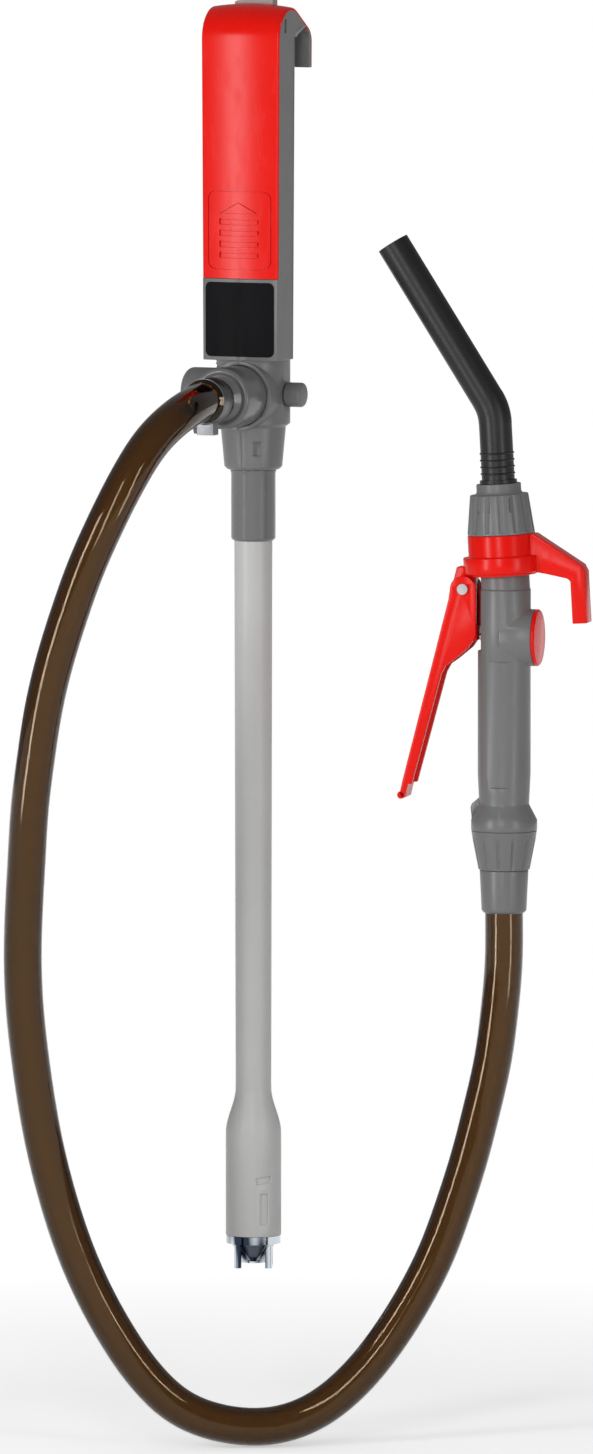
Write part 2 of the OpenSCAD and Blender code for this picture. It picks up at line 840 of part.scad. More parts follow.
module outlet_tail() {
    color(BLACK) at_outlet() difference() {
        union() {
            translate([0, 0, -thread_l + seat]) cylinder(r = thread_r, h = thread_l);
            translate([0, 0, -outlet_round / 2])
                cylinder(r = tail_flange_r, h = tail_flange_t + outlet_round / 2);
            translate([0, 0, tail_flange_t]) barbed_stem(cuff_l - tail_flange_t);
        }
        translate([0, 0, -thread_l]) cylinder(r = tail_bore_r, h = thread_l + 2 * cuff_l);
    }
}

module pump_hose_cuff() {
    color(BROWN) at_outlet() translate([0, 0, tail_flange_t]) difference() {
        union() {
            cylinder(r = cuff_r, h = cuff_l - cuff_neck);
            translate([0, 0, cuff_l - cuff_neck]) cylinder(r1 = cuff_r, r2 = hose_r, h = cuff_neck);
        }
        translate([0, 0, -cut]) cylinder(r = hose_bore_r, h = cuff_l - cuff_neck / 2 + cut);
        cylinder(r = stem_tail_r, h = cuff_l + cut);
    }
}
cuff_neck = 2;

// Worm-drive clamp
band_start = cuff_l - cuff_neck - band_w - seat;
housing_w = 12;
housing_d = 9;
housing_h = 8;
worm_r = 2.8;
worm_head_r = 3.8;
worm_head_l = 3;
module at_band() {
    at_outlet() translate([0, 0, tail_flange_t + band_start + seat]) children();
}

module clamp_band() {
    color(STEEL) at_band() difference() {
        cylinder(r = cuff_r + band_t, h = band_w);
        translate([0, 0, -cut]) cylinder(r = cuff_r + run_fit, h = band_w + 2 * cut);
    }
}

worm_z = cuff_r + band_t + worm_r + seat;
module clamp_housing() {
    color(STEEL) at_band() difference() {
        translate([-housing_w / 2, -worm_z - housing_h / 2, (band_w - housing_d) / 2])
            cube([housing_w, housing_h, housing_d]);
        translate([0, 0, -cut]) cylinder(r = cuff_r + band_t + run_fit, h = band_w + 2 * cut);
        translate([-housing_w, -worm_z, band_w / 2]) x_rod(worm_r + run_fit, 2 * housing_w);
    }
}

module clamp_screw() {
    color(STEEL) at_band() translate([0, -worm_z, band_w / 2]) difference() {
        union() {
            translate([-housing_w / 2, 0, 0]) x_rod(worm_r, housing_w);
            translate([-housing_w / 2 - worm_head_l - seat, 0, 0])
                rotate([0, 90, 0]) cylinder(r = worm_head_r, h = worm_head_l, $fn = 6);
            translate([-housing_w / 2 - worm_head_l, 0, 0]) x_rod(worm_r, worm_head_l + cut);
        }
        translate([-housing_w / 2 - worm_head_l - cut, -worm_head_r, -slot_t / 2])
            cube([slot_t + cut, 2 * worm_head_r, slot_t]);
    }
}
slot_t = 1;

// Collar on the pipe and its seal
collar_neck_r = 14.6;
collar_chamfer = 1.6;
module pipe_collar() {
    color(GREY) difference() {
        translate([0, 0, collar_z]) rotate_extrude() polygon([
            [0, 0],
            [collar_r - collar_chamfer, 0],
            [collar_r, collar_chamfer],
            [collar_r, collar_l - 2 * collar_chamfer],
            [collar_r + collar_chamfer / 2, collar_l - seat],
            [collar_neck_r, collar_l - seat],
            [collar_neck_r, collar_l + case_wall],
            [0, collar_l + case_wall]
        ]);
        translate([0, 0, collar_z - cut])
            cylinder(r = pipe_top_r + run_fit, h = collar_l + case_wall + 2 * cut);
        translate([0, 0, collar_z + collar_l - seal_drop - seal_r])
            cylinder(r = pipe_top_r + 1.4 * seal_r, h = 2 * seal_r);
    }
}
seal_drop = 8;

module collar_seal() {
    color(RUBBER) translate([0, 0, collar_z + collar_l - seal_drop])
        ring(pipe_top_r + 0.7 * seal_r + run_fit, 0.6 * seal_r);
}

// Suction pipe
spigot_l = 12;
spigot_r = 11.2;
flare_top = foot_h + flare_h;
module suction_pipe() {
    color(PALE) difference() {
        rotate_extrude() polygon([
            [0, flare_top - spigot_l],
            [spigot_r, flare_top - spigot_l],
            [spigot_r, flare_top + seat],
            [pipe_low_r, flare_top + seat],
            [pipe_top_r, collar_z - collar_chamfer],
            [pipe_top_r, pipe_top - seat],
            [0, pipe_top - seat]
        ]);
        translate([0, 0, flare_top - spigot_l - cut]) cylinder(r = pipe_bore_r, h = pipe_top);
    }
}

// Sealed tube for the leads: up the pipe, out of the valve body's back and up into the case
foot_motor_z = 18;
conduit_low = foot_motor_z + motor_l + seat;
module conduit_path(r) {
    translate([0, conduit_y, conduit_low]) cylinder(r = r, h = conduit_turn_z - conduit_low);
    translate([0, conduit_y, conduit_turn_z]) sphere(r = r);
    translate([0, conduit_back_y, conduit_turn_z]) front_rod(r, conduit_back_y - conduit_y);
    translate([0, conduit_back_y, conduit_turn_z]) sphere(r = r);
    translate([0, conduit_back_y, conduit_turn_z])
        cylinder(r = r, h = case_z + 2 * case_wall - conduit_turn_z);
}

module lead_conduit() {
    color(BLACK) difference() {
        conduit_path(conduit_r);
        conduit_path(conduit_bore);
    }
}

wire_r = 0.7;
wire_rise = 20;
module lead_wires() {
    color(RED) for (side = [-1, 1]) {
        wire_z = case_z + 3 * case_wall;
        top_z = side < 0 ? cavity_top - switch_h - 2 * slip - cut : tray_z + wire_rise;
        back_y = case_back - case_wall - 2 * wire_r;
        translate([side * wire_r, conduit_back_y, wire_z - 2 * case_wall + slip])
            cylinder(r = wire_r - run_fit, h = 2 * case_wall - slip);
        translate([side * wire_r, conduit_back_y, wire_z]) sphere(r = wire_r - run_fit);
        translate([side * wire_r, conduit_back_y, wire_z])
            front_rod(wire_r - run_fit, conduit_back_y - back_y);
        translate([side * wire_r, back_y, wire_z]) sphere(r = wire_r - run_fit);
        translate([side * wire_r, back_y, wire_z]) cylinder(r = wire_r - run_fit, h = top_z - wire_z);
    }
}

// Foot
latch_z = 8.3;
foot_latch_h = 21.3;
foot_latch_w = 6;
foot_latch_turn = 46;
notch_z = 36;
notch_w = 11;
notch_h = 4.5;
notch_turn = 47;
notch_tilt = 8;
function flare(r0, r1, z0, h, n) =
    [for (i = [0:n]) [r0 + (r1 - r0) * (1 - cos(180 * i / n)) / 2, z0 + h * i / n]];

module foot_barrel() {
    color(PALE) difference() {
        rotate_extrude() polygon(concat(
            [[0, 0], [foot_r, 0]],
            flare(foot_r, pipe_low_r, foot_h, flare_h, 10),
            [[0, flare_top]]
        ));
        rotate_extrude() polygon(concat(
            [[0, -cut], [foot_r - foot_wall, -cut]],
            flare(foot_r - foot_wall, pipe_bore_r, foot_h - foot_wall, flare_h - spigot_l, 8),
            [[0, flare_top - spigot_l]]
        ));
        translate([0, 0, flare_top - spigot_l - seat])
            cylinder(r = spigot_r + run_fit, h = spigot_l + cut);
        translate([0, 0, flare_top - spigot_l - foot_wall]) cylinder(r = pipe_bore_r, h = spigot_l);
        rotate([0, 0, foot_latch_turn]) translate([-foot_latch_w / 2, -foot_r - cut, latch_z])
            cube([foot_latch_w, foot_wall + 2 * cut, foot_latch_h]);
        rotate([0, 0, notch_turn]) translate([-notch_w / 2, -foot_r - cut, notch_z])
            rotate([0, -notch_tilt, 0]) cube([notch_w, cut + foot_wall, notch_h]);
    }
}

brush_h = 3;
module pump_motor() {
    color(STEEL) difference() {
        union() {
            translate([0, 0, foot_motor_z]) cylinder(r = motor_r, h = motor_l - brush_h);
            translate([0, 0, foot_motor_z + motor_l - brush_h])
                cylinder(r1 = motor_r, r2 = motor_r - brush_h, h = brush_h);
            translate([0, 0, foot_motor_z - hub_t / 2]) cylinder(r = hub_r, h = hub_t);
        }
        translate([0, 0, foot_motor_z - hub_t]) cylinder(r = shaft_r + run_fit, h = motor_l - hub_t);
    }
}
hub_r = 3;
hub_t = 3;

// Holder that centres the motor and lets the fuel past
carrier_wall = 1.2;
carrier_low = 12;
carrier_h = 20;
fin_n = 4;
fin_t = 2;
module motor_carrier() {
    color(BLACK) difference() {
        union() {
            translate([0, 0, carrier_low]) cylinder(r = motor_r + carrier_wall, h = carrier_h);
            for (i = [0:fin_n - 1]) rotate([0, 0, i * 360 / fin_n])
                translate([0, -fin_t / 2, carrier_low])
                cube([foot_r - foot_wall - run_fit, fin_t, carrier_h]);
        }
        translate([0, 0, foot_motor_z]) cylinder(r = motor_r + run_fit, h = carrier_h);
        translate([0, 0, carrier_low + hub_t]) cylinder(r = hub_r + cut, h = carrier_h);
        translate([0, 0, carrier_low - cut]) cylinder(r = hub_r + run_fit, h = carrier_h);
    }
}

module motor_shaft() {
    color(STEEL) translate([0, 0, shaft_low])
        cylinder(r = shaft_r, h = foot_motor_z + motor_l / 2 - shaft_low);
}
shaft_low = 2;

module shaft_seal() {
    color(RUBBER) translate([0, 0, carrier_low]) difference() {
        cylinder(r = hub_r, h = hub_t);
        translate([0, 0, -cut]) cylinder(r = shaft_r + run_fit, h = hub_t + 2 * cut);
    }
}

impeller_z = 4;
impeller_t = 1.4;
vane_h = 4.6;
vane_t = 1.2;
module impeller() {
    color(BLACK) difference() {
        union() {
            translate([0, 0, impeller_z + vane_h]) cylinder(r = impeller_r, h = impeller_t);
            translate([0, 0, impeller_z - impeller_t])
                cylinder(r = 2.5 * shaft_r, h = vane_h + impeller_t + cut);
            for (i = [0:vane_n - 1]) rotate([0, 0, i * 360 / vane_n])
                translate([2 * shaft_r, -vane_t / 2, impeller_z])
                    cube([impeller_r - 2 * shaft_r - impeller_t, vane_t, vane_h + impeller_t / 2]);
        }
        translate([0, 0, -cut]) cylinder(r = shaft_r, h = 2 * carrier_low);
    }
}

// Strainer: ring, slanted ribs, floor disc and legs
cage_ring_h = 5.5;
cage_floor_r = 8;
cage_rib_w = 5;
cage_rib_t = 2.4;
cage_spigot_h = 2.2;
cage_inset = 0.5;
cone_inset = 1;
cage_n = 4;
cage_turn = 67;
leg_r = 2.5;
leg_at = 15;
module cage_cone(grow, low) {
    translate([0, 0, -strainer_h])
        cylinder(r1 = cage_floor_r + grow, r2 = foot_r + grow - cone_inset, h = strainer_h - cage_ring_h);
}

module strainer_cage() {
    color(STEEL) {
        difference() {
            union() {
                translate([0, 0, -cage_ring_h])
                    cylinder(r = foot_r - cage_inset, h = cage_ring_h - seat);
                translate([0, 0, -cage_ring_h])
                    cylinder(r = foot_r - foot_wall - run_fit, h = cage_ring_h + cage_spigot_h);
            }
            translate([0, 0, -cage_ring_h - cut])
                cylinder(r = foot_r - foot_wall - cage_rib_t / 2, h = cage_ring_h + cage_spigot_h + 2 * cut);
        }
        intersection() {
            difference() {
                cage_cone(0);
                translate([0, 0, cage_rib_t / 2]) cage_cone(-cage_rib_t);
            }
            for (i = [0:cage_n - 1]) rotate([0, 0, cage_turn + i * 360 / cage_n])
                translate([0, -cage_rib_w / 2, -strainer_h])
                    cube([foot_r, cage_rib_w, strainer_h]);
        }
        translate([0, 0, -strainer_h]) cylinder(r = cage_floor_r, h = cage_rib_t / 2);
        difference() {
            for (i = [0:cage_n - 1]) rotate([0, 0, cage_turn + i * 360 / cage_n])
                translate([leg_at, 0, -strainer_h - leg_h])
                    cylinder(r = leg_r, h = strainer_h + leg_h - cage_ring_h + cut, $fn = 24);
            translate([0, 0, cage_rib_t / 2]) cage_cone(-cage_rib_t);
        }
    }
}

screen_t = 0.6;
module strainer_screen() {
    color(BLACK) difference() {
        translate([0, 0, cage_rib_t / 2 + slip]) cage_cone(-cage_rib_t - seat);
        translate([0, 0, cage_rib_t / 2 + slip + screen_t]) cage_cone(-cage_rib_t - seat - screen_t);
        translate([0, 0, -cage_ring_h]) cylinder(r = foot_r, h = cage_ring_h);
    }
}

// Free hose: route chosen by hand, from the pump's cuff to the nozzle's
route = [
    [0, -88, 578], [0, -121, 573], [-9, -150, 557], [-18, -171, 532], [-30, -182, 502],
    [-43, -187, 471], [-54, -190, 439], [-64, -192, 407], [-72, -193, 374], [-78, -192, 340],
    [-83, -191, 307], [-86, -189, 273], [-89, -187, 239], [-91, -185, 205], [-91, -182, 171],
    [-89, -178, 138], [-86, -173, 104], [-82, -167, 71], [-76, -160, 38], [-68, -153, 6],
    [-58, -144, -25], [-45, -134, -55], [-29, -124, -83], [-8, -112, -107], [19, -97, -119],
    [49, -80, -121], [76, -64, -110], [99, -51, -88], [117, -40, -62], [133, -31, -33],
    [146, -23, -3], [156, -17, 29], [165, -12, 61], [172, -7, 94], [179, -4, 127],
    [183, -2, 161], [185.5, 0, 195], [185.5, 0, 229]
];
hose_sides = 12;
function unit(v) = v / norm(v);
function tangent(i) =
    i == 0 ? [0, -1, 0]
    : i == len(route) - 1 ? [0, 0, 1]
    : unit(unit(route[i + 1] - route[i]) + unit(route[i] - route[i - 1]));
function across(i) = unit(cross(tangent(i), [0.8, -0.6, 0]));
function ring_points(i) =
    let (t = tangent(i), a = across(i), b = cross(t, a))
    [for (k = [0:hose_sides - 1])
        route[i] + hose_r * (a * cos(360 * k / hose_sides) + b * sin(360 * k / hose_sides))];

module hose() {
    rings = len(route);
    points = [for (i = [0:rings - 1]) each ring_points(i)];
    sides = [for (i = [0:rings - 2]) for (k = [0:hose_sides - 1])
        let (p = i * hose_sides, q = p + hose_sides, n = (k + 1) % hose_sides)
        each [[p + k, p + n, q + n], [p + k, q + n, q + k]]];
    first = [for (k = [1:hose_sides - 2]) [0, k + 1, k]];
    top = (rings - 1) * hose_sides;
    last = [for (k = [1:hose_sides - 2]) [top, top + k, top + k + 1]];
    color(BROWN) polyhedron(points, concat(sides, first, last));
}

// Nozzle frame: its hose end, upright, +X towards the hook
module at_nozzle(h) {
    translate([nozzle_x, 0, nozzle_z]) rotate([0, 0, nozzle_yaw]) translate([0, 0, h]) children();
}

// Leaning frame of collar, nut and spout
lean_drop = 10;
module at_spout(h) {
    at_nozzle(body_top - lean_drop) rotate([0, -spout_lean, 0]) translate([0, 0, h]) children();
}
body_low = sleeve_h + swivel_h;
body_top = body_low + body_h;
branch_h = body_top - branch_drop;
pivot_h = body_top - pivot_drop;

cuff_in_sleeve = 24;
module nozzle_hose_cuff() {
    color(BROWN) at_nozzle(0) difference() {
        cylinder(r = hose_r, h = cuff_in_sleeve);
        translate([0, 0, cut]) cylinder(r = hose_bore_r, h = cuff_in_sleeve);
        translate([0, 0, -cut]) cylinder(r = stem_tail_r, h = cuff_in_sleeve);
    }
}

sleeve_chamfer = 1.6;
module hose_sleeve() {
    color(GREY) at_nozzle(0) difference() {
        rotate_extrude() polygon([
            [0, 0],
            [sleeve_low_r - sleeve_chamfer, 0],
            [sleeve_low_r, sleeve_chamfer],
            [sleeve_top_r, sleeve_h],
            [0, sleeve_h]
        ]);
        translate([0, 0, -cut]) cylinder(r = hose_r + run_fit, h = cuff_in_sleeve + seat + cut);
        cylinder(r = thread_r, h = sleeve_h + cut);
    }
}

// Barbed tail that the nozzle turns on
tail_neck_r = 9.9;
tail_collar_r = 14;
tail_collar_t = 3.6;
tail_head_r = 11.4;
tail_head_h = 13;
nut_floor_t = 2.6;
tail_collar_h = sleeve_h + slip + nut_floor_t + slip;
module nozzle_tail() {
    color(BLACK) at_nozzle(0) difference() {
        union() {
            mirror([0, 0, 1]) translate([0, 0, -cuff_in_sleeve]) barbed_stem(cuff_in_sleeve - 2 * cut);
            translate([0, 0, cuff_in_sleeve])
                cylinder(r = tail_neck_r, h = tail_collar_h - cuff_in_sleeve);
            translate([0, 0, tail_collar_h]) cylinder(r = tail_collar_r, h = tail_collar_t);
            translate([0, 0, tail_collar_h]) cylinder(r = tail_head_r, h = tail_collar_t + tail_head_h);
        }
        cylinder(r = tail_bore_r, h = sleeve_h + swivel_h);
        translate([0, 0, swivel_seal_h - seal_r]) difference() {
            cylinder(r = tail_head_r + cut, h = 2 * seal_r);
            translate([0, 0, -cut]) cylinder(r = tail_head_r - 2 * seal_r, h = 2 * seal_r + 2 * cut);
        }
    }
}
swivel_seal_h = tail_collar_h + tail_collar_t + tail_head_h / 2;

module swivel_seal() {
    color(RUBBER) at_nozzle(swivel_seal_h) ring(tail_head_r - seal_r, seal_r - run_fit);
}

grip_n = 12;
grip_cut_r = 1.4;
spigot_top_r = 18.3;
module swivel_nut() {
    color(GREY) at_nozzle(sleeve_h + slip) difference() {
        rotate_extrude() polygon([
            [0, 0],
            [swivel_low_r - nut_floor_t, 0],
            [swivel_low_r, 1.6 * nut_floor_t],
            [swivel_top_r, swivel_h - slip],
            [0, swivel_h - slip]
        ]);
        translate([0, 0, -cut]) cylinder(r = tail_neck_r + slip, h = nut_floor_t + 2 * cut);
        translate([0, 0, nut_floor_t])
            cylinder(r = tail_collar_r + slip, h = tail_collar_t + 2 * slip + cut);
        translate([0, 0, nut_floor_t + tail_collar_t + 2 * slip])
            cylinder(r = spigot_top_r + run_fit, h = swivel_h);
        for (i = [0:grip_n - 1]) rotate([0, 0, i * 360 / grip_n])
            translate([swivel_low_r + grip_cut_r / 2, 0, 2 * nut_floor_t])
                rotate([0, atan2(swivel_top_r - swivel_low_r, swivel_h), 0])
                    cylinder(r = grip_cut_r, h = swivel_h - 4 * nut_floor_t, $fn = 24);
    }
}

// Nozzle body: one moulding with the branch, the lever pocket and the flow ways
body_low_r = 22.5;
body_waist_r = 17;
flare_rise = 7.2;
flare_run = 10.5;
panel_y = 16.1;
panel_low = 30;
panel_h = 86;
pocket_x = 10;
pocket_low = 42;
pocket_slack = 0.6;
chamber_a = 7.2;
seat_x = 4;
seat_t = 3;
seat_hole_r = 7;
chamber_a_r = 10.5;
chamber_b_r = 15;
rise_r = 5;
feed_r = 4.6;
feed_x = 11.7;
neck_out_r = 17.6;
spigot_thread_r = 15;
spout_flange_t = 2.8;
collar_low = 11.5;
nut_low = collar_low + hook_collar_h + seat;
ledge_h = nut_low + spout_nut_h;
spigot_h = ledge_h - 2 * spout_flange_t - seal_r;
outlet_way_r = 9.6;
lug_out = 5.2;

module nozzle_body() {
    color(GREY) {
        difference() {
            union() {
                at_nozzle(0) {
                    translate([0, 0, body_low]) rotate_extrude() polygon([
                        [0, 0],
                        [body_low_r, 0],
                        [body_low_r, flare_rise],
                        [body_waist_r, flare_rise + flare_run],
                        [body_r, flare_rise + 3 * flare_run],
                        [body_r, body_h - pivot_drop],
                        [0, body_h - pivot_drop]
                    ]);
                    translate([0, 0, tail_collar_h + tail_collar_t + slip])
                        cylinder(r = spigot_top_r, h = body_low - tail_collar_h - tail_collar_t);
                    translate([0, 0, branch_h]) x_rod(branch_r, branch_reach);
                    catch_lug();
                }
                at_spout(0) {
                    translate([0, 0, -cut]) cylinder(r = neck_out_r, h = nut_low + cut);
                    cylinder(r = spigot_thread_r, h = spigot_h);
                }
            }
            at_nozzle(0) {
                translate([0, 0, sleeve_h])
                    cylinder(r = tail_head_r + run_fit, h = body_low - sleeve_h);
                translate([feed_x, 0, body_low - 2 * cut])
                    cylinder(r = feed_r, h = branch_h - body_low);
                translate([-chamber_a, 0, branch_h]) x_rod(chamber_a_r, chamber_a + seat_x);
                translate([0, 0, branch_h]) x_rod(seat_hole_r, seat_x + seat_t + cut);
                translate([seat_x + seat_t, 0, branch_h]) x_rod(chamber_b_r, branch_reach);
                translate([seat_x - rise_r - cut / 2, 0, branch_h])
                    cylinder(r = rise_r, h = 1.5 * branch_drop);
                translate([-body_r, 0, branch_h]) x_rod(stem_r + run_fit, body_r);
                translate([-pocket_x - cut, 0, branch_h]) x_rod(stem_r + seal_w, seal_l + cut);
                lever_pocket();
                for (side = [-1, 1])
                    translate([-body_r, side > 0 ? panel_y : -panel_y - body_r, body_low + panel_low])
                    cube([2 * body_r, body_r, panel_h]);
            }
            at_spout(branch_drop / 2) cylinder(r = outlet_way_r, h = spigot_h);
        }
    }
}
seal_w = 1.6;
seal_l = 2;

module lever_pocket() {
    translate([
        -2 * body_r - pocket_x,
        -lever_w / 2 - pocket_slack,
        pivot_h - pocket_low
    ]) cube([2 * body_r, lever_w + 2 * pocket_slack, pocket_low + lever_top_r + cut]);
}

module catch_lug() {
    translate([0, lug_out / 2, body_low]) rotate([90, 0, 0]) linear_extrude(lug_out) polygon([
        [-body_waist_r + cut, flare_rise + 2 * flare_run - lug_out],
        [-body_waist_r - lug_out, flare_rise + flare_run],
        [-body_low_r - cut / 2, flare_rise + flare_run - lug_out / 2],
        [-body_waist_r - lug_out, flare_rise + cut],
        [-body_waist_r + cut, flare_rise]
    ]);
}

// Hook collar: ring, lower flange, hook and the tongue that carries the lever
flange_grow = 3.8;
flange_low = 2;
flange_h = 11;
hook_rise = 39;
hook_root_x = 24;
hook_outer_z = 15;
hook_inner_z = 7.7;
leg_low = -23.2;
tongue_w = 12;
tongue_r = 7.4;
tongue_from = 215;
module hook_collar() {
    color(RED) difference() {
        union() {
            at_spout(collar_low) {
                cylinder(r = hook_collar_r, h = hook_collar_h);
                translate([0, 0, flange_low]) cylinder(r = hook_collar_r + flange_grow, h = flange_h);
            }
            at_spout(0) {
                hook_arm(leg_w);
            }
            at_nozzle(0) tongue();
        }
        at_spout(-collar_low) cylinder(r = neck_out_r + run_fit, h = 4 * hook_collar_h);
        at_nozzle(pivot_h) translate([-pivot_x, leg_w, 0]) front_rod(pin_r, 2 * leg_w);
        at_nozzle(0) cylinder(r = body_r + seat, h = pivot_h + pivot_drop / 2);
        at_spout(-2 * collar_low) cylinder(r = body_r + seat, h = 3 * collar_low);
    }
}

module hook_arm(w) {
    translate([0, w / 2, 0]) rotate([90, 0, 0]) linear_extrude(w) polygon([
        [body_r, collar_low + flange_low + cut],
        [leg_x - leg_t * 1.7, (collar_low + hook_inner_z) / 2 + cut * 2],
        [leg_x - leg_t / 5, hook_inner_z],
        [leg_x, hook_inner_z - leg_t / 5],
        [leg_x, leg_low],
        [leg_x + leg_t, leg_low],
        [leg_x + leg_t, hook_outer_z - leg_t / 3],
        [leg_x + leg_t * 0.8, hook_outer_z + leg_t / 8],
        [hook_root_x, hook_rise],
        [body_r, hook_rise]
    ]);
}

module tongue() {
    translate([0, tongue_w / 2, pivot_h]) rotate([90, 0, 0]) linear_extrude(tongue_w) polygon(concat(
        [[-body_r, 2 * tongue_r], [-pivot_x - tongue_r * 0.7, 2 * tongue_r]],
        [[-pivot_x - 1.3 * tongue_r, -tongue_r / 3]],
        arc([-pivot_x, 0], tongue_r, tongue_from, 360, 8),
        [[-pivot_x + tongue_r, tongue_r], [-body_r, 1.3 * tongue_r]]
    ));
}

// Lever: two cheeks joined by the outer web and the push rib, in the nozzle's frame
arm_x = 36.7;
arm_end_x = 68.1;
arm_end_h = 133.7;
arm_t = 5.8;
web_t = 2.4;
rib_x = 17;
rib_low = 35;
rib_top = 25;
block_low = 34;
web_top = 7;
web_run = 4;
heel_points = [[3.2, -6.6], [-6.4, -14.5], [-12, -18.5], [-15, -24]];
function cheek_outline() = concat(
    arc([-pivot_x, 0], lever_top_r, 180, 0, 12),
    [
        [-pivot_x + lever_top_r, -block_low + web_t],
        [-pivot_x + lever_top_r - web_t / 2, -block_low]
    ],
    [for (p = heel_points) [p[0] - pivot_x, p[1] - block_low]],
    [
        [-arm_end_x + arm_t, -arm_end_h],
        [-arm_end_x, -arm_end_h],
        [-arm_x, -web_top]
    ]
);
lip_out = 3;
lip_h = 9.5;
function web_outline() = [
    [-arm_x, -web_top],
    [-arm_x + web_t, -web_top - web_run],
    [-arm_end_x + web_t * 1.3, -arm_end_h],
    [-arm_end_x - lip_out + web_t * 1.6, -arm_end_h - lip_h],
    [-arm_end_x - lip_out, -arm_end_h - lip_h + web_t / 2],
    [-arm_end_x - web_t / 4, -arm_end_h + web_t]
];

module lever_slab(points, low, high) {
    translate([0, high, 0]) rotate([90, 0, 0]) linear_extrude(high - low) polygon(points);
}

module lever() {
    color(RED) at_nozzle(pivot_h) difference() {
        union() {
            lever_slab(cheek_outline(), -lever_w / 2, -lever_w / 2 + cheek_t);
            lever_slab(cheek_outline(), lever_w / 2 - cheek_t, lever_w / 2);
            lever_slab(web_outline(), -lever_w / 2, lever_w / 2);
            lever_slab([
                [-rib_x - web_t, -rib_top],
                [-rib_x - web_t, -rib_low],
                [-rib_x, -rib_low],
                [-rib_x, -rib_top]
            ], -lever_w / 2 + cut, lever_w / 2 - cut);
            lever_slab([
                [-rib_x - web_t / 2, -rib_low + web_t],
                [-rib_x - web_t / 2, -rib_low],
                [-arm_x - web_t, -rib_low],
                [-arm_x - web_t, -rib_low + web_t]
            ], -lever_w / 2 + cut, lever_w / 2 - cut);
        }
        translate([-pivot_x, lever_w, 0]) front_rod(pin_r + run_fit, 2 * lever_w);
    }
}

pin_head_t = 1.6;
module lever_pin() {
    color(STEEL) at_nozzle(pivot_h) translate([-pivot_x, 0, 0]) {
        translate([0, lever_w / 2 + seat, 0]) front_rod(pin_r, lever_w + 2 * seat);
        for (side = [-1, 1])
            translate([0, side * (lever_w / 2 + seat + pin_head_t / 2) + pin_head_t / 2, 0])
            front_rod(pin_head_r, pin_head_t);
    }
}

// Poppet valve across the body, opened by the lever
stem_out = rib_x - slip;
stem_tail = 13.5;
disc_r = 10.5;
disc_t = 3;
module valve_stem() {
    color(STEEL) at_nozzle(branch_h) translate([-stem_out, 0, 0]) x_rod(stem_r, stem_out + stem_tail);
}

module valve_disc() {
    color(RUBBER) at_nozzle(branch_h) translate([seat_x + seat_t + slip, 0, 0]) difference() {
        x_rod(disc_r, disc_t);
        translate([-cut, 0, 0]) x_rod(stem_r, disc_t + 2 * cut);
    }
}

spring_r = 6.4;
spring_wire = 0.55;
spring_turns = 3;
spring_steps = 8;
spring_sides = 6;
cap_floor = 1;
spring_low = seat_x + seat_t + 2 * slip + disc_t + spring_wire;
spring_top = branch_reach - cap_floor - spring_wire - slip;
function coil(i) =
    let (n = spring_turns * spring_steps, a = 360 * i / spring_steps)
    [spring_low + (spring_top - spring_low) * i / n, spring_r * cos(a), spring_r * sin(a)];
function coil_ring(i) =
    let (
        a = 360 * i / spring_steps,
        out = [0, cos(a), sin(a)],
        side = [1, 0, 0]
    )
    [for (k = [0:spring_sides - 1])
        coil(i)
            + spring_wire * (out * cos(360 * k / spring_sides) + side * sin(360 * k / spring_sides))];

module valve_spring() {
    rings = spring_turns * spring_steps + 1;
    points = [for (i = [0:rings - 1]) each coil_ring(i)];
    sides = [for (i = [0:rings - 2]) for (k = [0:spring_sides - 1])
        let (p = i * spring_sides, q = p + spring_sides, n = (k + 1) % spring_sides)
        each [[p + k, q + n, p + n], [p + k, q + k, q + n]]];
    first = [for (k = [1:spring_sides - 2]) [0, k, k + 1]];
    top = (rings - 1) * spring_sides;
    last = [for (k = [1:spring_sides - 2]) [top, top + k + 1, top + k]];
    color(STEEL) at_nozzle(branch_h) polyhedron(points, concat(sides, first, last));
}

module stem_seal() {
    color(RUBBER) at_nozzle(branch_h) translate([-pocket_x + run_fit, 0, 0]) difference() {
        x_rod(stem_r + seal_w - run_fit, seal_l - 2 * run_fit);
        translate([-cut, 0, 0]) x_rod(stem_r + run_fit, seal_l + 2 * cut);
    }
}

cap_t = 2.4;
cap_plug_l = 4;
module valve_cap() {
    color(RED) at_nozzle(branch_h) {
        difference() {
            union() {
                translate([branch_reach + seat, 0, 0]) rotate([0, 90, 0]) rotate_extrude() polygon([
                    [0, 0],
                    [branch_r, 0],
                    [branch_r, cap_t - cap_floor],
                    [branch_r - cap_floor, cap_t],
                    [0, cap_t]
                ]);
                translate([branch_reach - cap_plug_l, 0, 0])
                    x_rod(chamber_b_r - run_fit, cap_plug_l + cut);
            }
            translate([branch_reach - cap_plug_l - cut, 0, 0])
                x_rod(chamber_b_r - 2 * cap_floor, cap_plug_l + cut - cap_floor);
            translate([branch_reach - cap_plug_l / 2 - seal_r, 0, 0]) rotate([0, 90, 0]) difference() {
                cylinder(r = chamber_b_r + cut, h = 2 * seal_r);
                translate([0, 0, -cut])
                    cylinder(r = chamber_b_r - 1.5 * seal_r, h = 2 * seal_r + 2 * cut);
            }
        }
    }
}

module cap_seal() {
    color(RUBBER) at_nozzle(branch_h) translate([branch_reach - cap_plug_l / 2, 0, 0])
        rotate([0, 90, 0])
        ring(chamber_b_r - 0.75 * seal_r - run_fit, 0.65 * seal_r);
}

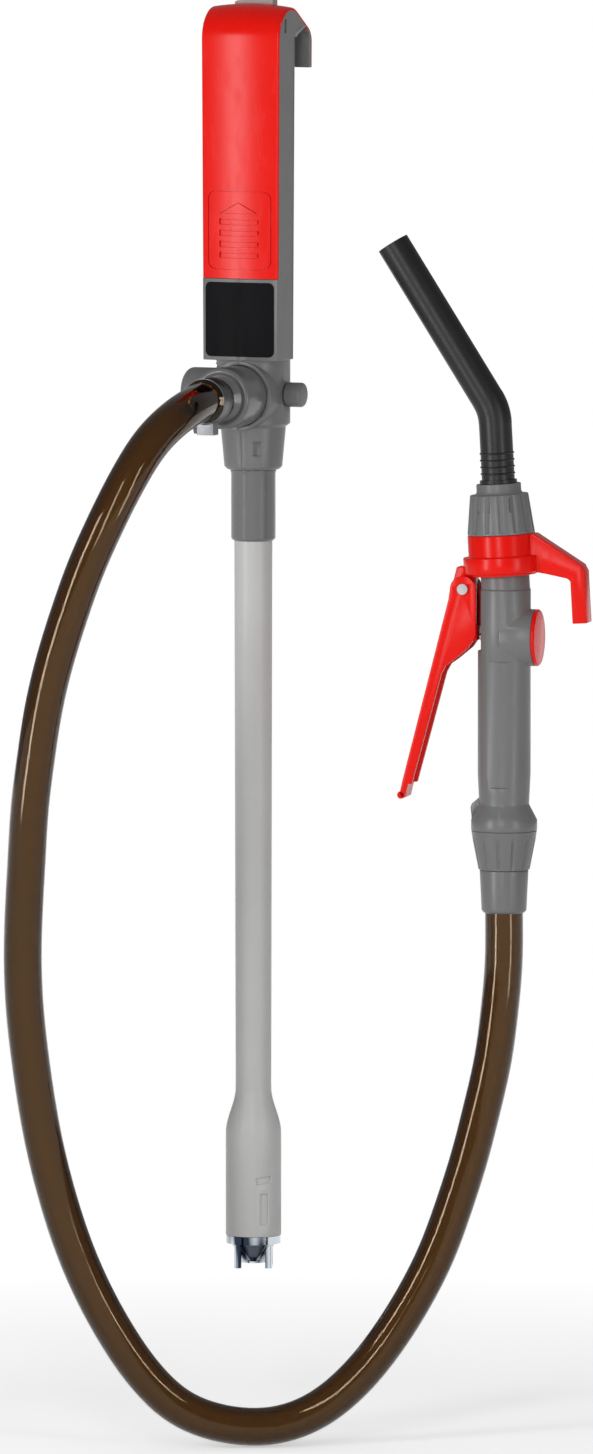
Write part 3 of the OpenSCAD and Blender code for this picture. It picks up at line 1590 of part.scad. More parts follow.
// Spout nut, spout and seal
flute_n = 14;
flute_r = 2.2;
top_ring_r = 15.2;
top_ring_h = 7.2;
nut_hole_r = 11.8;
module spout_nut() {
    color(GREY) at_spout(nut_low) difference() {
        rotate_extrude() polygon([
            [0, 0],
            [spout_nut_low_r, 0],
            [spout_nut_top_r, spout_nut_h],
            [top_ring_r + cut, spout_nut_h],
            [top_ring_r, spout_nut_h + 2 * cut],
            [top_ring_r, spout_nut_h + top_ring_h],
            [0, spout_nut_h + top_ring_h]
        ]);
        translate([0, 0, -cut])
            cylinder(r = spigot_thread_r + run_fit, h = spout_low + spout_flange_t + slip - nut_low + cut);
        cylinder(r = nut_hole_r, h = 2 * spout_nut_h);
        for (i = [0:flute_n - 1]) rotate([0, 0, i * 360 / flute_n])
            translate([spout_nut_low_r + flute_r / 2, 0, 2 * cut])
                rotate([0, atan2(spout_nut_top_r - spout_nut_low_r, spout_nut_h), 0])
                    cylinder(r = flute_r, h = 2 * spout_nut_h, $fn = 24);
    }
}

spout_low = spigot_h + 2 * seal_r;
spout_flange_r = 14.6;
bead_r = 0.6;
bead_n = 4;
bead_pitch = 4.6;
foot_ring_r = 12.7;
foot_ring_h = 2.2;
bend_r = 34;
bend_h = nut_low + spout_nut_h + spout_rise;
bend_tail = bend_r * tan(spout_angle / 2);
joint = 0.1;
module spout() {
    color(BLACK) at_spout(0) {
        difference() {
            union() {
                translate([0, 0, spout_low])
                    cylinder(r = spout_r - joint, h = bend_h - bend_tail + cut - spout_low);
                translate([0, 0, spout_low]) cylinder(r = spout_flange_r, h = spout_flange_t);
                translate([0, 0, ledge_h + top_ring_h + seat])
                    cylinder(r = foot_ring_r, h = foot_ring_h);
                for (i = [1:bead_n])
                    translate([0, 0, ledge_h + top_ring_h + foot_ring_h + i * bead_pitch])
                    ring(spout_r, bead_r);
            }
            translate([0, 0, spout_low - cut]) cylinder(r = spout_r - spout_wall + joint, h = bend_h);
        }
        translate([-bend_r, 0, bend_h - bend_tail]) rotate([90, 0, 0])
            rotate_extrude(angle = spout_angle) translate([bend_r, 0]) difference() {
                circle(r = spout_r);
                circle(r = spout_r - spout_wall);
            }
        translate([0, 0, bend_h]) rotate([0, -spout_angle, 0]) translate([0, 0, bend_tail - cut])
            difference() {
            cylinder(r = spout_r - joint, h = spout_l - bend_tail + cut);
            translate([0, 0, -cut]) cylinder(r = spout_r - spout_wall + joint, h = spout_l + 2 * cut);
        }
    }
}

module spout_seal() {
    color(RUBBER) at_spout(spigot_h + seal_r) ring(spigot_thread_r - 2.4 * seal_r, seal_r - run_fit);
}

case_left();
case_right();
battery_door();
rating_plate();
case_screws();
battery_tray();
battery_cells();
battery_contacts();
switch_slider();
switch_body();
lead_wires();
flow_knob();
valve_barrel();
barrel_seals();
spindle_cap();
valve_body();
outlet_tail();
pump_hose_cuff();
clamp_band();
clamp_housing();
clamp_screw();
pipe_collar();
collar_seal();
suction_pipe();
lead_conduit();
foot_barrel();
pump_motor();
motor_carrier();
motor_shaft();
shaft_seal();
impeller();
strainer_cage();
strainer_screen();
hose();
nozzle_hose_cuff();
hose_sleeve();
nozzle_tail();
swivel_seal();
swivel_nut();
nozzle_body();
hook_collar();
lever();
lever_pin();
valve_stem();
valve_disc();
valve_spring();
stem_seal();
valve_cap();
cap_seal();
spout_nut();
spout();
spout_seal();
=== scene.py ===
import json
import math

import bmesh
import bpy
from mathutils import Matrix, Vector


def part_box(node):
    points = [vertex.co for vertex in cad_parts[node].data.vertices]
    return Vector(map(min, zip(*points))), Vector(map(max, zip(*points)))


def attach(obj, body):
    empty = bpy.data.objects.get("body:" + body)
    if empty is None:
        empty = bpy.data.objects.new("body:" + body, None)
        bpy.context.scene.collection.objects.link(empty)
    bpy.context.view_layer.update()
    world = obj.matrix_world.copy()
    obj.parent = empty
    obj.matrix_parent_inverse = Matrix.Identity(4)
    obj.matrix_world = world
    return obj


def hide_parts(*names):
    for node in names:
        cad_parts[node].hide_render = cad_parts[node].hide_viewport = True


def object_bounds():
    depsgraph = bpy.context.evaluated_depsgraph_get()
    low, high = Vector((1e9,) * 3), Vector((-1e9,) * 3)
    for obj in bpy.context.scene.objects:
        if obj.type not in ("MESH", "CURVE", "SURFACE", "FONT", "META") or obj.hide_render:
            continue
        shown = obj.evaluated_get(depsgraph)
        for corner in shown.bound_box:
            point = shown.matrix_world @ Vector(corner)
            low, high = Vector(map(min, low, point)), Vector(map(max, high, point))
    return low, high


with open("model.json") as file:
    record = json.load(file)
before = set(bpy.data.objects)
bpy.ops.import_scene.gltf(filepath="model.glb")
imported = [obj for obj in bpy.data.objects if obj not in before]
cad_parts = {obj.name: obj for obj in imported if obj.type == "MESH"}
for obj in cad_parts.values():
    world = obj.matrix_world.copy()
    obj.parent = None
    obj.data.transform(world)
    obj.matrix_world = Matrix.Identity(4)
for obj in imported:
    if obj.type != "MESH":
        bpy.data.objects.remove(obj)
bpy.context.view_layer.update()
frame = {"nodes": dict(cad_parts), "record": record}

NODES = frame["nodes"]
SLOTS = {part["node"]: part["material_slot"] for part in frame["record"]["subparts"]}
BODY_OF = {
    node: body
    for body, members in frame["record"]["behaviour"]["bodies"].items()
    for node in members
}


def at(x, y, z):
    return Matrix.Translation((x, y, z))


def turn(degrees, axis):
    return Matrix.Rotation(math.radians(degrees), 4, axis)


def linked(name, data):
    """A new object in the scene"""
    made = bpy.data.objects.new(name, data)
    bpy.context.scene.collection.objects.link(made)
    return made


# Camera, at the photograph's viewing angle
AZIMUTH = math.radians(23)
ELEVATION = math.radians(5)
DISTANCE = 12.0
SHIFT_RIGHT = 0.0295
SHIFT_UP = 0.3480
FRAME_HEIGHT = 0.9974
SENSOR = 36.0
SIGHT = 100


def add_camera():
    right = Vector((math.cos(AZIMUTH), math.sin(AZIMUTH), 0))
    back = Vector((
        math.sin(AZIMUTH) * math.cos(ELEVATION),
        -math.cos(AZIMUTH) * math.cos(ELEVATION),
        math.sin(ELEVATION),
    ))
    up = back.cross(right)
    target = right * SHIFT_RIGHT + up * SHIFT_UP
    data = bpy.data.cameras.new("camera")
    data.sensor_fit = "VERTICAL"
    data.sensor_height = SENSOR
    data.lens = SENSOR * DISTANCE / FRAME_HEIGHT
    data.clip_end = SIGHT
    camera = linked("camera", data)
    axes = Matrix((right, up, back)).transposed().to_4x4()
    camera.matrix_world = Matrix.Translation(target + back * DISTANCE) @ axes
    bpy.context.scene.camera = camera


add_camera()

# Colour sockets of a mix node, whose names repeat for each kind of data
MIX_FIRST = 6
MIX_SECOND = 7
MIX_RESULT = 2


class Shading:
    """A material and the nodes that feed its shader"""

    def __init__(self, name):
        self.material = bpy.data.materials.new(name)
        self.material.use_nodes = True
        self.tree = self.material.node_tree
        self.shader = self.tree.nodes["Principled BSDF"]
        self.place = self.node("ShaderNodeTexCoord").outputs["Object"]

    def node(self, kind, **values):
        made = self.tree.nodes.new(kind)
        for key, value in values.items():
            setattr(made, key, value)
        return made

    def link(self, source, target):
        self.tree.links.new(source, target)

    def feed(self, **sources):
        for key, source in sources.items():
            self.link(source, self.shader.inputs[key.replace("_", " ")])

    def set(self, **values):
        for key, value in values.items():
            self.shader.inputs[key.replace("_", " ")].default_value = value

    def noise(self, scale, detail, stretch=(1, 1, 1)):
        mapping = self.node("ShaderNodeMapping")
        mapping.inputs["Scale"].default_value = stretch
        self.link(self.place, mapping.inputs["Vector"])
        made = self.node("ShaderNodeTexNoise")
        made.inputs["Scale"].default_value = scale
        made.inputs["Detail"].default_value = detail
        self.link(mapping.outputs["Vector"], made.inputs["Vector"])
        return made.outputs["Fac"]

    def ramp(self, value, low, high, first, last):
        made = self.node("ShaderNodeMapRange")
        made.inputs["From Min"].default_value = low
        made.inputs["From Max"].default_value = high
        made.inputs["To Min"].default_value = first
        made.inputs["To Max"].default_value = last
        self.link(value, made.inputs["Value"])
        return made.outputs["Result"]

    def mix(self, factor, first, second):
        made = self.node("ShaderNodeMix", data_type="RGBA")
        self.link(factor, made.inputs["Factor"])
        for index, value in ((MIX_FIRST, first), (MIX_SECOND, second)):
            if isinstance(value, tuple):
                made.inputs[index].default_value = (*value, 1)
            else:
                self.link(value, made.inputs[index])
        return made.outputs[MIX_RESULT]

    def maths(self, operation, first, second):
        made = self.node("ShaderNodeMath", operation=operation)
        self.link(first, made.inputs[0])
        self.link(second, made.inputs[1])
        return made.outputs["Value"]

    def bump(self, height, distance, strength, under=None):
        made = self.node("ShaderNodeBump")
        made.inputs["Distance"].default_value = distance
        made.inputs["Strength"].default_value = strength
        self.link(height, made.inputs["Height"])
        if under:
            self.link(under, made.inputs["Normal"])
        return made.outputs["Normal"]

    def edges(self, radius):
        """1 on worn edges and 0 on faces"""
        bevel = self.node("ShaderNodeBevel", samples=4)
        bevel.inputs["Radius"].default_value = radius
        geometry = self.node("ShaderNodeNewGeometry")
        dot = self.node("ShaderNodeVectorMath", operation="DOT_PRODUCT")
        self.link(bevel.outputs["Normal"], dot.inputs[0])
        self.link(geometry.outputs["Normal"], dot.inputs[1])
        return self.ramp(dot.outputs["Value"], 0.99, 0.85, 0, 1)


def tint(colour, share):
    return tuple(min(1, c * share) for c in colour)


def lighter(colour, share):
    return tuple(c + (1 - c) * share for c in colour)


WORN_WIDTH = 0.0009
WORN_ROUGHER = 0.09
SPECK_TINT = 0.86


def moulded(name, colour, rough, grain=0.6, wear=0.06, cloud=0.06, ior=1.45):
    """Moulded plastic: flow clouds, fine spark-eroded grain, scuffs and paler worn edges"""
    s = Shading(name)
    clouds = s.noise(scale=28, detail=4)
    tone = s.mix(clouds, tint(colour, 1 - cloud), tint(colour, 1 + cloud))
    specks = s.ramp(s.noise(scale=900, detail=1), 0.62, 0.75, 0, 0.35)
    tone = s.mix(specks, tone, tint(colour, SPECK_TINT))
    scuffs = s.ramp(s.noise(scale=170, detail=3, stretch=(1, 1, 0.25)), 0.5, 0.75, 0, 1)
    worn = s.maths("MULTIPLY", s.edges(WORN_WIDTH), s.ramp(scuffs, 0, 1, 0.35, 1))
    tone = s.mix(worn, tone, lighter(colour, wear))
    fine = s.bump(s.noise(scale=2600, detail=2), 0.00004, grain)
    wavy = s.bump(s.noise(scale=40, detail=2), 0.00025, 0.5, fine)
    s.feed(Base_Color=tone, Roughness=s.ramp(scuffs, 0, 1, rough, rough + WORN_ROUGHER), Normal=wavy)
    s.set(IOR=ior)
    return s.material


def metal(name, colour, rough, stretch=(1, 1, 1), grain=0.5, painted_reflection_colour=None):
    """Drawn or plated metal: brush lines and smudges, or dark stripes painted into its colour, a
    painted reflection of dark surroundings in its plating
    """
    s = Shading(name)
    smudge = s.noise(scale=60, detail=3)
    if painted_reflection_colour:
        # Painted reflection: dark stripes painted into the colour, standing in for dark surroundings
        # mirrored in the plating
        band = s.ramp(s.noise(scale=75, detail=1, stretch=(1, 1, 0.2)), 0.44, 0.56, 0, 1)
        tone = s.mix(band, painted_reflection_colour, colour)
    else:
        tone = s.mix(smudge, tint(colour, 0.86), tint(colour, 1.04))
    lines = s.bump(s.noise(scale=420, detail=3, stretch=stretch), 0.00003, grain)
    patchy = s.ramp(smudge, 0.3, 0.7, rough * 0.8, rough * 1.35)
    s.feed(Base_Color=tone, Roughness=patchy, Normal=lines)
    s.set(Metallic=1.0)
    return s.material


def soft_rubber(name, colour):
    """Black rubber with a chalky bloom"""
    s = Shading(name)
    bloom = s.ramp(s.noise(scale=120, detail=5), 0.45, 0.75, 0, 0.5)
    patchy = s.ramp(s.noise(scale=300, detail=2), 0.3, 0.7, 0.55, 0.7)
    fine = s.bump(s.noise(scale=1800, detail=2), 0.00004, 0.6)
    s.feed(Base_Color=s.mix(bloom, colour, lighter(colour, 0.08)), Roughness=patchy, Normal=fine)
    return s.material


HAZE = ((0.95, 0.93, 0.86), (1.0, 0.99, 0.95))
HOSE_GLINT = (1.0, 0.75, 0.42, 1.0)
HOSE_TINT = (0.53, 0.37, 0.02, 1.0)
HOSE_DENSITY = 940


def clear_vinyl(name):
    """Brown see-through vinyl whose wall soaks up light, with haze and faint waves"""
    s = Shading(name)
    haze = s.noise(scale=35, detail=3)
    waves = s.bump(s.noise(scale=30, detail=2), 0.00004, 0.3)
    s.feed(Base_Color=s.mix(haze, *HAZE), Roughness=s.ramp(haze, 0.3, 0.7, 0.05, 0.09), Normal=waves)
    s.set(Transmission_Weight=1.0, IOR=1.4, Specular_Tint=HOSE_GLINT)
    s.set(Coat_Weight=0.28, Coat_Roughness=0.08)
    soak = s.node("ShaderNodeVolumeAbsorption")
    soak.inputs["Color"].default_value = HOSE_TINT
    soak.inputs["Density"].default_value = HOSE_DENSITY
    s.link(soak.outputs["Volume"], s.tree.nodes["Material Output"].inputs["Volume"])
    return s.material


GREY = moulded("grey_moulding", (0.158, 0.160, 0.159), 0.33, grain=0.3)
RED = moulded("red_moulding", (0.82, 0.005, 0.001), 0.24, grain=0.2, wear=0.03, cloud=0.05, ior=1.29)
SATIN = moulded("satin_grey", (0.150, 0.152, 0.151), 0.2, grain=0.1)
PALE = moulded("pale_moulding", (0.535, 0.535, 0.53), 0.38)
SLIDER = moulded("slider_moulding", (0.34, 0.285, 0.265), 0.42)
BLACK = moulded("black_moulding", (0.009, 0.009, 0.010), 0.36, grain=0.12, wear=0.02, ior=1.4)
PLATE = moulded("plate_print", (0.004, 0.004, 0.005), 0.5, grain=0.3, wear=0.01, ior=1.15)
SCREEN = metal("dark_screen", (0.10, 0.12, 0.15), 0.35)
CHROME = metal("chrome_plate", (0.56, 0.60, 0.66), 0.1, grain=0.15)
# The cage's plating carries a painted reflection: dark stripes painted into its colour
CAGE = metal("cage_plate", (0.62, 0.68, 0.72), 0.12, grain=0.15, painted_reflection_colour=(0.03, 0.04, 0.07))
STEEL = metal("drawn_steel", (0.50, 0.50, 0.51), 0.26, stretch=(1, 1, 8))
CLAMP = metal("clamp_steel", (0.17, 0.17, 0.18), 0.38, stretch=(1, 6, 1), grain=1.0)
BRASS = metal("brass_plate", (0.72, 0.52, 0.22), 0.25)
WRAP = moulded("cell_wrap", (0.60, 0.33, 0.08), 0.3)
SHEATH = moulded("wire_sheath", (0.45, 0.02, 0.02), 0.45)
RUBBER = soft_rubber("seal_rubber", (0.014, 0.014, 0.015))
VINYL = clear_vinyl("hose_vinyl")

FINISHES = {
    "grey_plastic": GREY,
    "red_plastic": RED,
    "pale_plastic": PALE,
    "black_plastic": BLACK,
    "black_plate": PLATE,
    "slider_plastic": SLIDER,
    "bright_metal": CHROME,
    "steel": STEEL,
    "brass_plated": BRASS,
    "dark_screen": SCREEN,
    "rubber": RUBBER,
    "hose_vinyl": VINYL,
    "cell_wrap": WRAP,
    "wire_sheath": SHEATH,
}
OWN_FINISHES = {
    "strainer_cage": CAGE,
    "clamp_housing": CLAMP,
    "clamp_screw": CLAMP,
}


def finish_nodes():
    for name, node in NODES.items():
        coat = OWN_FINISHES.get(name, FINISHES[SLOTS[name]])
        if not node.material_slots:
            node.data.materials.append(coat)
        for held in node.material_slots:
            held.material = coat


finish_nodes()


# Meshes
def to_mesh(name, mesh):
    """Mesh data from a bmesh, which is then freed"""
    data = bpy.data.meshes.new(name)
    mesh.to_mesh(data)
    mesh.free()
    return data


def to_closed_mesh(name, mesh):
    """The same for a closed shape, with its faces turned outward"""
    bmesh.ops.recalc_face_normals(mesh, faces=mesh.faces)
    return to_mesh(name, mesh)


def join_ends(mesh, first, second, flip=False):
    """Faces between two rings of vertices"""
    count = len(first)
    for k in range(count):
        after = (k + 1) % count
        corners = [first[k], first[after], second[after], second[k]]
        mesh.faces.new(corners[::-1] if flip else corners)


def join_rings(mesh, rings, flip=False):
    """Faces from each ring of points to the next; returns the rings of vertices"""
    made = [[mesh.verts.new(point) for point in ring] for ring in rings]
    for first, second in zip(made, made[1:]):
        join_ends(mesh, first, second, flip)
    return made


def new_piece(name, mesh, coat, node, stands_for=True, sharp=40):
    """A piece, smooth but for its sharp edges, that stands for a CAD node or rides along with it"""
    mesh.shade_smooth()
    mesh.set_sharp_from_angle(angle=math.radians(sharp))
    mesh.materials.clear()
    mesh.materials.append(coat)
    piece = linked(name, mesh)
    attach(piece, BODY_OF[node])
    if stands_for:
        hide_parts(node)
    return piece


# Hose: a clear tube along the source's route
HOSE_R = 0.013
HOSE_BORE_R = 0.0098
HOSE_SIDES = 48
HOSE_STEPS = 6
HOSE_EASINGS = 8
HOSE_ACROSS = (0.8, -0.6, 0)
HOSE_ROUTE = [
    (0, -0.088, 0.578), (0, -0.121, 0.573), (-0.009, -0.150, 0.557), (-0.018, -0.171, 0.532),
    (-0.030, -0.182, 0.502), (-0.043, -0.187, 0.471), (-0.054, -0.190, 0.439),
    (-0.064, -0.192, 0.407), (-0.072, -0.193, 0.374), (-0.078, -0.192, 0.340),
    (-0.083, -0.191, 0.307), (-0.086, -0.189, 0.273), (-0.089, -0.187, 0.239),
    (-0.091, -0.185, 0.205), (-0.091, -0.182, 0.171), (-0.089, -0.178, 0.138),
    (-0.086, -0.173, 0.104), (-0.082, -0.167, 0.071), (-0.076, -0.160, 0.038),
    (-0.068, -0.153, 0.006), (-0.058, -0.144, -0.025), (-0.045, -0.134, -0.055),
    (-0.029, -0.124, -0.083), (-0.008, -0.112, -0.107), (0.019, -0.097, -0.119),
    (0.049, -0.080, -0.121), (0.076, -0.064, -0.110), (0.099, -0.051, -0.088),
    (0.117, -0.040, -0.062), (0.133, -0.031, -0.033), (0.146, -0.023, -0.003),
    (0.156, -0.017, 0.029), (0.165, -0.012, 0.061), (0.172, -0.007, 0.094),
    (0.179, -0.004, 0.127), (0.183, -0.002, 0.161), (0.1855, 0, 0.195), (0.1855, 0, 0.229),
]

# It runs from the outlet, which faces the front, to the nozzle, which stands on its far end
OUTLET_Z = HOSE_ROUTE[0][2]
NOZZLE_TURN = 10
NOZZLE = at(*HOSE_ROUTE[-1]) @ turn(NOZZLE_TURN, "Z")


def smooth_path(points):
    """A smooth curve through the points, then eased so that no bend stands out"""
    path = [Vector(p) for p in points]
    ends = [path[0] * 2 - path[1]] + path + [path[-1] * 2 - path[-2]]
    fine = []
    for i in range(1, len(ends) - 2):
        a, b, c, d = ends[i - 1:i + 3]
        for k in range(HOSE_STEPS):
            t = k / HOSE_STEPS
            fine.append(
                (b * 2 + (c - a) * t + (a * 2 - b * 5 + c * 4 - d) * t ** 2
                 + (b * 3 - a - c * 3 + d) * t ** 3) / 2
            )
    fine.append(path[-1])
    for _ in range(HOSE_EASINGS):
        fine = [fine[0], fine[1]] + [
            fine[i] / 2 + (fine[i - 1] + fine[i + 1]) / 4 for i in range(2, len(fine) - 2)
        ] + [fine[-2], fine[-1]]
    return fine


def sweep(path, radius):
    """Rings of points around a path, with the least twist"""
    rings = []
    across = Vector(HOSE_ACROSS)
    for i, point in enumerate(path):
        before = path[max(i - 1, 0)]
        after = path[min(i + 1, len(path) - 1)]
        along = (after - before).normalized()
        if i == 0:
            across = along.cross(across).normalized()
        across = (across - along * across.dot(along)).normalized()
        other = along.cross(across)
        ring = []
        for k in range(HOSE_SIDES):
            angle = 2 * math.pi * k / HOSE_SIDES
            ring.append(point + (across * math.cos(angle) + other * math.sin(angle)) * radius)
        rings.append(ring)
    return rings


def add_hose():
    path = smooth_path(HOSE_ROUTE)
    mesh = bmesh.new()
    outer = join_rings(mesh, sweep(path, HOSE_R))
    inner = join_rings(mesh, sweep(path, HOSE_BORE_R), flip=True)
    join_ends(mesh, outer[0], inner[0], flip=True)
    join_ends(mesh, outer[-1], inner[-1])
    piece = new_piece("delivery_hose", to_closed_mesh("delivery_hose", mesh), VINYL, "hose")
    length = sum((b - a).length for a, b in zip(path, path[1:]))


add_hose()


# Dressed nodes: copies of CAD nodes with their flat faces whole and their edges rounded
WELD = 2e-6
FLAT_ANGLE = 0.6
EDGE_ANGLE = 30
EDGE_STEPS = 2


def dressed(node, coat, width, moved=None):
    mesh = bmesh.new()
    mesh.from_mesh(NODES[node].data)
    if moved:
        for vert in mesh.verts:
            vert.co = moved(vert.co)
    bmesh.ops.remove_doubles(mesh, verts=mesh.verts, dist=WELD)
    bmesh.ops.dissolve_limit(
        mesh, angle_limit=math.radians(FLAT_ANGLE), use_dissolve_boundaries=False,
        verts=mesh.verts, edges=mesh.edges,
    )
    sharp = [
        edge for edge in mesh.edges
        if len(edge.link_faces) == 2 and edge.calc_face_angle(0) > math.radians(EDGE_ANGLE)
    ]
    bmesh.ops.bevel(
        mesh, geom=sharp, offset=width, segments=EDGE_STEPS, profile=0.5,
        affect="EDGES", clamp_overlap=False,
    )
    name = node + "_shell"
    new_piece(name, to_mesh(name, mesh), coat, node)


# The front end of the outlet's boss sits further back than the CAD's, round the same bore
BOSS_BORE_R = 0.0135
BOSS_END_Y = -0.060
BOSS_SHIFT = Vector((0, 0.008, 0))


def short_boss(point):
    beyond_bore = math.hypot(point.x, point.z - OUTLET_Z) > BOSS_BORE_R
    return point + BOSS_SHIFT if beyond_bore and point.y < BOSS_END_Y else point


# The outside of the clamp's band, between two radii, comes in to a smaller one
BAND_FROM_R = 0.0158
BAND_TO_R = 0.0165
BAND_THIN_R = 0.0156


def thin_band(point):
    radius = math.hypot(point.x, point.z - OUTLET_Z)
    if not BAND_FROM_R < radius < BAND_TO_R:
        return point
    share = BAND_THIN_R / radius
    return Vector((point.x * share, point.y, OUTLET_Z + (point.z - OUTLET_Z) * share))


# Each node's finish, the width of its rounded edges and the function that moves its points
DRESSED = {
    "flow_knob": (GREY, 0.0005),
    "spindle_cap": (GREY, 0.0004),
    "pipe_collar": (SATIN, 0.0004),
    "foot_barrel": (PALE, 0.0004),
    "hose_sleeve": (GREY, 0.0005),
    "nozzle_body": (GREY, 0.0006),
    "hook_collar": (RED, 0.0006),
    "lever": (RED, 0.0005),
    "spout_nut": (GREY, 0.0005),
    "valve_cap": (RED, 0.0004),
    "valve_body": (SATIN, 0.0005, short_boss),
    "case_left": (GREY, 0.0003),
    "case_right": (GREY, 0.0003),
    "clamp_band": (CLAMP, 0.0002, thin_band),
}

for node, facts in DRESSED.items():
    dressed(node, *facts)


# Turned rings, plain or with grooves that are round in section
RING_SIDES = 96
GROOVE_DEEP = 0.0012
GROOVE_SHARE = 0.13


def groove(phase):
    """Depth at a share of the pitch from the middle of one groove to the next"""
    near = min(phase, 1 - phase) / GROOVE_SHARE
    return GROOVE_DEEP * max(0, 1 - near * near)


def turned(name, rows, sides=RING_SIDES, place=Matrix.Identity(4), grooves=0):
    """A closed ring: rows of height, radius and the share of the grooves' depth"""
    mesh = bmesh.new()
    rings = []
    for height, radius, share in rows:
        ring = []
        for k in range(sides):
            angle = 2 * math.pi * k / sides
            out = radius - share * groove(k * grooves / sides % 1)
            ring.append(place @ Vector((out * math.cos(angle), out * math.sin(angle), height)))
        rings.append(ring)
    made = join_rings(mesh, rings)
    join_ends(mesh, made[-1], made[0])
    return to_closed_mesh(name, mesh)


# Foot: a liner that floors its two shallow recesses, and the joint ring above it
LINER_LOW = 0.004
LINER_HIGH = 0.046
LINER_BORE_R = 0.0168
LINER_R = 0.0178
JOINT_LOW = 0.1002
JOINT_HIGH = 0.1034
JOINT_TOP = 0.1038
JOINT_BORE_R = 0.0116
JOINT_R = 0.01226


def add_foot_rings():
    liner = [
        (LINER_LOW, LINER_BORE_R, 0), (LINER_LOW, LINER_R, 0),
        (LINER_HIGH, LINER_R, 0), (LINER_HIGH, LINER_BORE_R, 0),
    ]
    joint = [
        (JOINT_LOW, JOINT_BORE_R, 0), (JOINT_LOW, JOINT_R, 0),
        (JOINT_HIGH, JOINT_R, 0), (JOINT_TOP, JOINT_BORE_R, 0),
    ]
    for name, rows in (("foot_liner", liner), ("foot_joint", joint)):
        new_piece(name, turned(name, rows), PALE, "foot_barrel", stands_for=False)


add_foot_rings()


# Swivel nut: a cone with fine shallow grooves, from a foot rim to a plain head
NUT_BORE_R = 0.0160
NUT_LOW = 0.0296
NUT_HIGH = 0.0562
NUT_ROWS = [
    (NUT_LOW, NUT_BORE_R, 0), (NUT_LOW, 0.0171, 0), (0.0300, 0.0175, 0.2), (0.0330, 0.0181, 1),
    (0.0490, 0.0212, 1), (0.0520, 0.0217, 0), (0.0558, 0.0223, 0), (NUT_HIGH, 0.0219, 0),
    (NUT_HIGH, NUT_BORE_R, 0),
]
NUT_SIDES = 288
NUT_GROOVES = 12


def add_swivel_nut():
    nut = turned("swivel_nut_shell", NUT_ROWS, NUT_SIDES, NOZZLE, NUT_GROOVES)
    new_piece("swivel_nut_shell", nut, GREY, "swivel_nut", sharp=30)


add_swivel_nut()


# Head: its profile runs up the front, over the dome and down the hook to its tip
DOOR_LOW, DOOR_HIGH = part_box("battery_door")
COVER_LOW = DOOR_LOW[2]
FRONT_Y = -0.0253
DOME_Y = -0.0013
DOME_Z = 0.8205
DOME_R = 0.024
HOOK_R = 0.014
HOOK_Y = DOOR_HIGH[1] - HOOK_R
HOOK_Z = 0.818
HOOK_LOW = 0.800
FRONT_STEPS = 19
DOME_STEPS = 24
HOOK_STEPS = 16
TIP_STEPS = 3

# Direction, outward, of the straight line that touches both the dome and the hook
APART_Y = HOOK_Y - DOME_Y
APART_Z = HOOK_Z - DOME_Z
TANGENT = math.atan2(APART_Z, APART_Y) + math.acos((DOME_R - HOOK_R) / math.hypot(APART_Y, APART_Z))

# The head's width, and how far its surface falls from the middle to the rim
CASE_LOW = 0.602
CASE_HIGH = 0.8339
CASE_LOW_HALF = 0.0274
CASE_HIGH_HALF = DOOR_HIGH[0]
FRONT_CROWN = 0.0025
DOME_CROWN = 0.0022
TIP_CROWN = 0.0008


def half_width(z):
    """Half of the head's width at a height"""
    share = min(1, (z - CASE_LOW) / (CASE_HIGH - CASE_LOW))
    return CASE_LOW_HALF + (CASE_HIGH_HALF - CASE_LOW_HALF) * share


def round_point(y, z, radius, angle, crown):
    """A point of the profile on a circle round y, z"""
    out_y = math.cos(angle)
    out_z = math.sin(angle)
    return y + radius * out_y, z + radius * out_z, out_y, out_z, crown


def head_path():
    """Points of the profile: y, z, outward y, outward z, crown"""
    path = []
    for k in range(FRONT_STEPS):
        z = COVER_LOW + (DOME_Z - COVER_LOW) * k / FRONT_STEPS
        path.append((FRONT_Y, z, -1, 0, FRONT_CROWN))
    for k in range(DOME_STEPS + 1):
        angle = math.pi + (TANGENT - math.pi) * k / DOME_STEPS
        crown = FRONT_CROWN + (DOME_CROWN - FRONT_CROWN) * k / DOME_STEPS
        path.append(round_point(DOME_Y, DOME_Z, DOME_R, angle, crown))
    for k in range(HOOK_STEPS + 1):
        angle = TANGENT * (1 - k / HOOK_STEPS)
        crown = DOME_CROWN + (TIP_CROWN - DOME_CROWN) * k / HOOK_STEPS
        path.append(round_point(HOOK_Y, HOOK_Z, HOOK_R, angle, crown))
    for k in range(1, TIP_STEPS + 1):
        z = HOOK_Z + (HOOK_LOW - HOOK_Z) * k / TIP_STEPS
        path.append((HOOK_Y + HOOK_R, z, 1, 0, TIP_CROWN))
    return path


# Battery cover: a crowned red shell along the whole profile
COVER_T = 0.0022
COVER_RIM_R = 0.0009
COVER_STEPS = 40


def cover_mesh():
    mesh = bmesh.new()
    rings = []
    for y, z, out_y, out_z, crown in head_path():
        outer = []
        inner = []
        half = half_width(z)
        for k in range(COVER_STEPS + 1):
            # Points lie closer together at the rims
            share = math.sin(math.pi / 2 * (2 * k / COVER_STEPS - 1))
            x = half * share
            edge = max(0, abs(x) - (half - COVER_RIM_R))
            rim = COVER_RIM_R - math.sqrt(max(0, COVER_RIM_R ** 2 - edge ** 2))
            high = crown * share * share + rim
            deep = crown * share * share + COVER_T
            outer.append(Vector((x, y - out_y * high, z - out_z * high)))
            inner.append(Vector((x, y - out_y * deep, z - out_z * deep)))
        rings.append(outer + inner[::-1])
    made = join_rings(mesh, rings)
    for ring in (made[0], made[-1]):
        for k in range(COVER_STEPS):
            mesh.faces.new([ring[k], ring[k + 1], ring[-2 - k], ring[-1 - k]])
    return to_closed_mesh("cover", mesh)


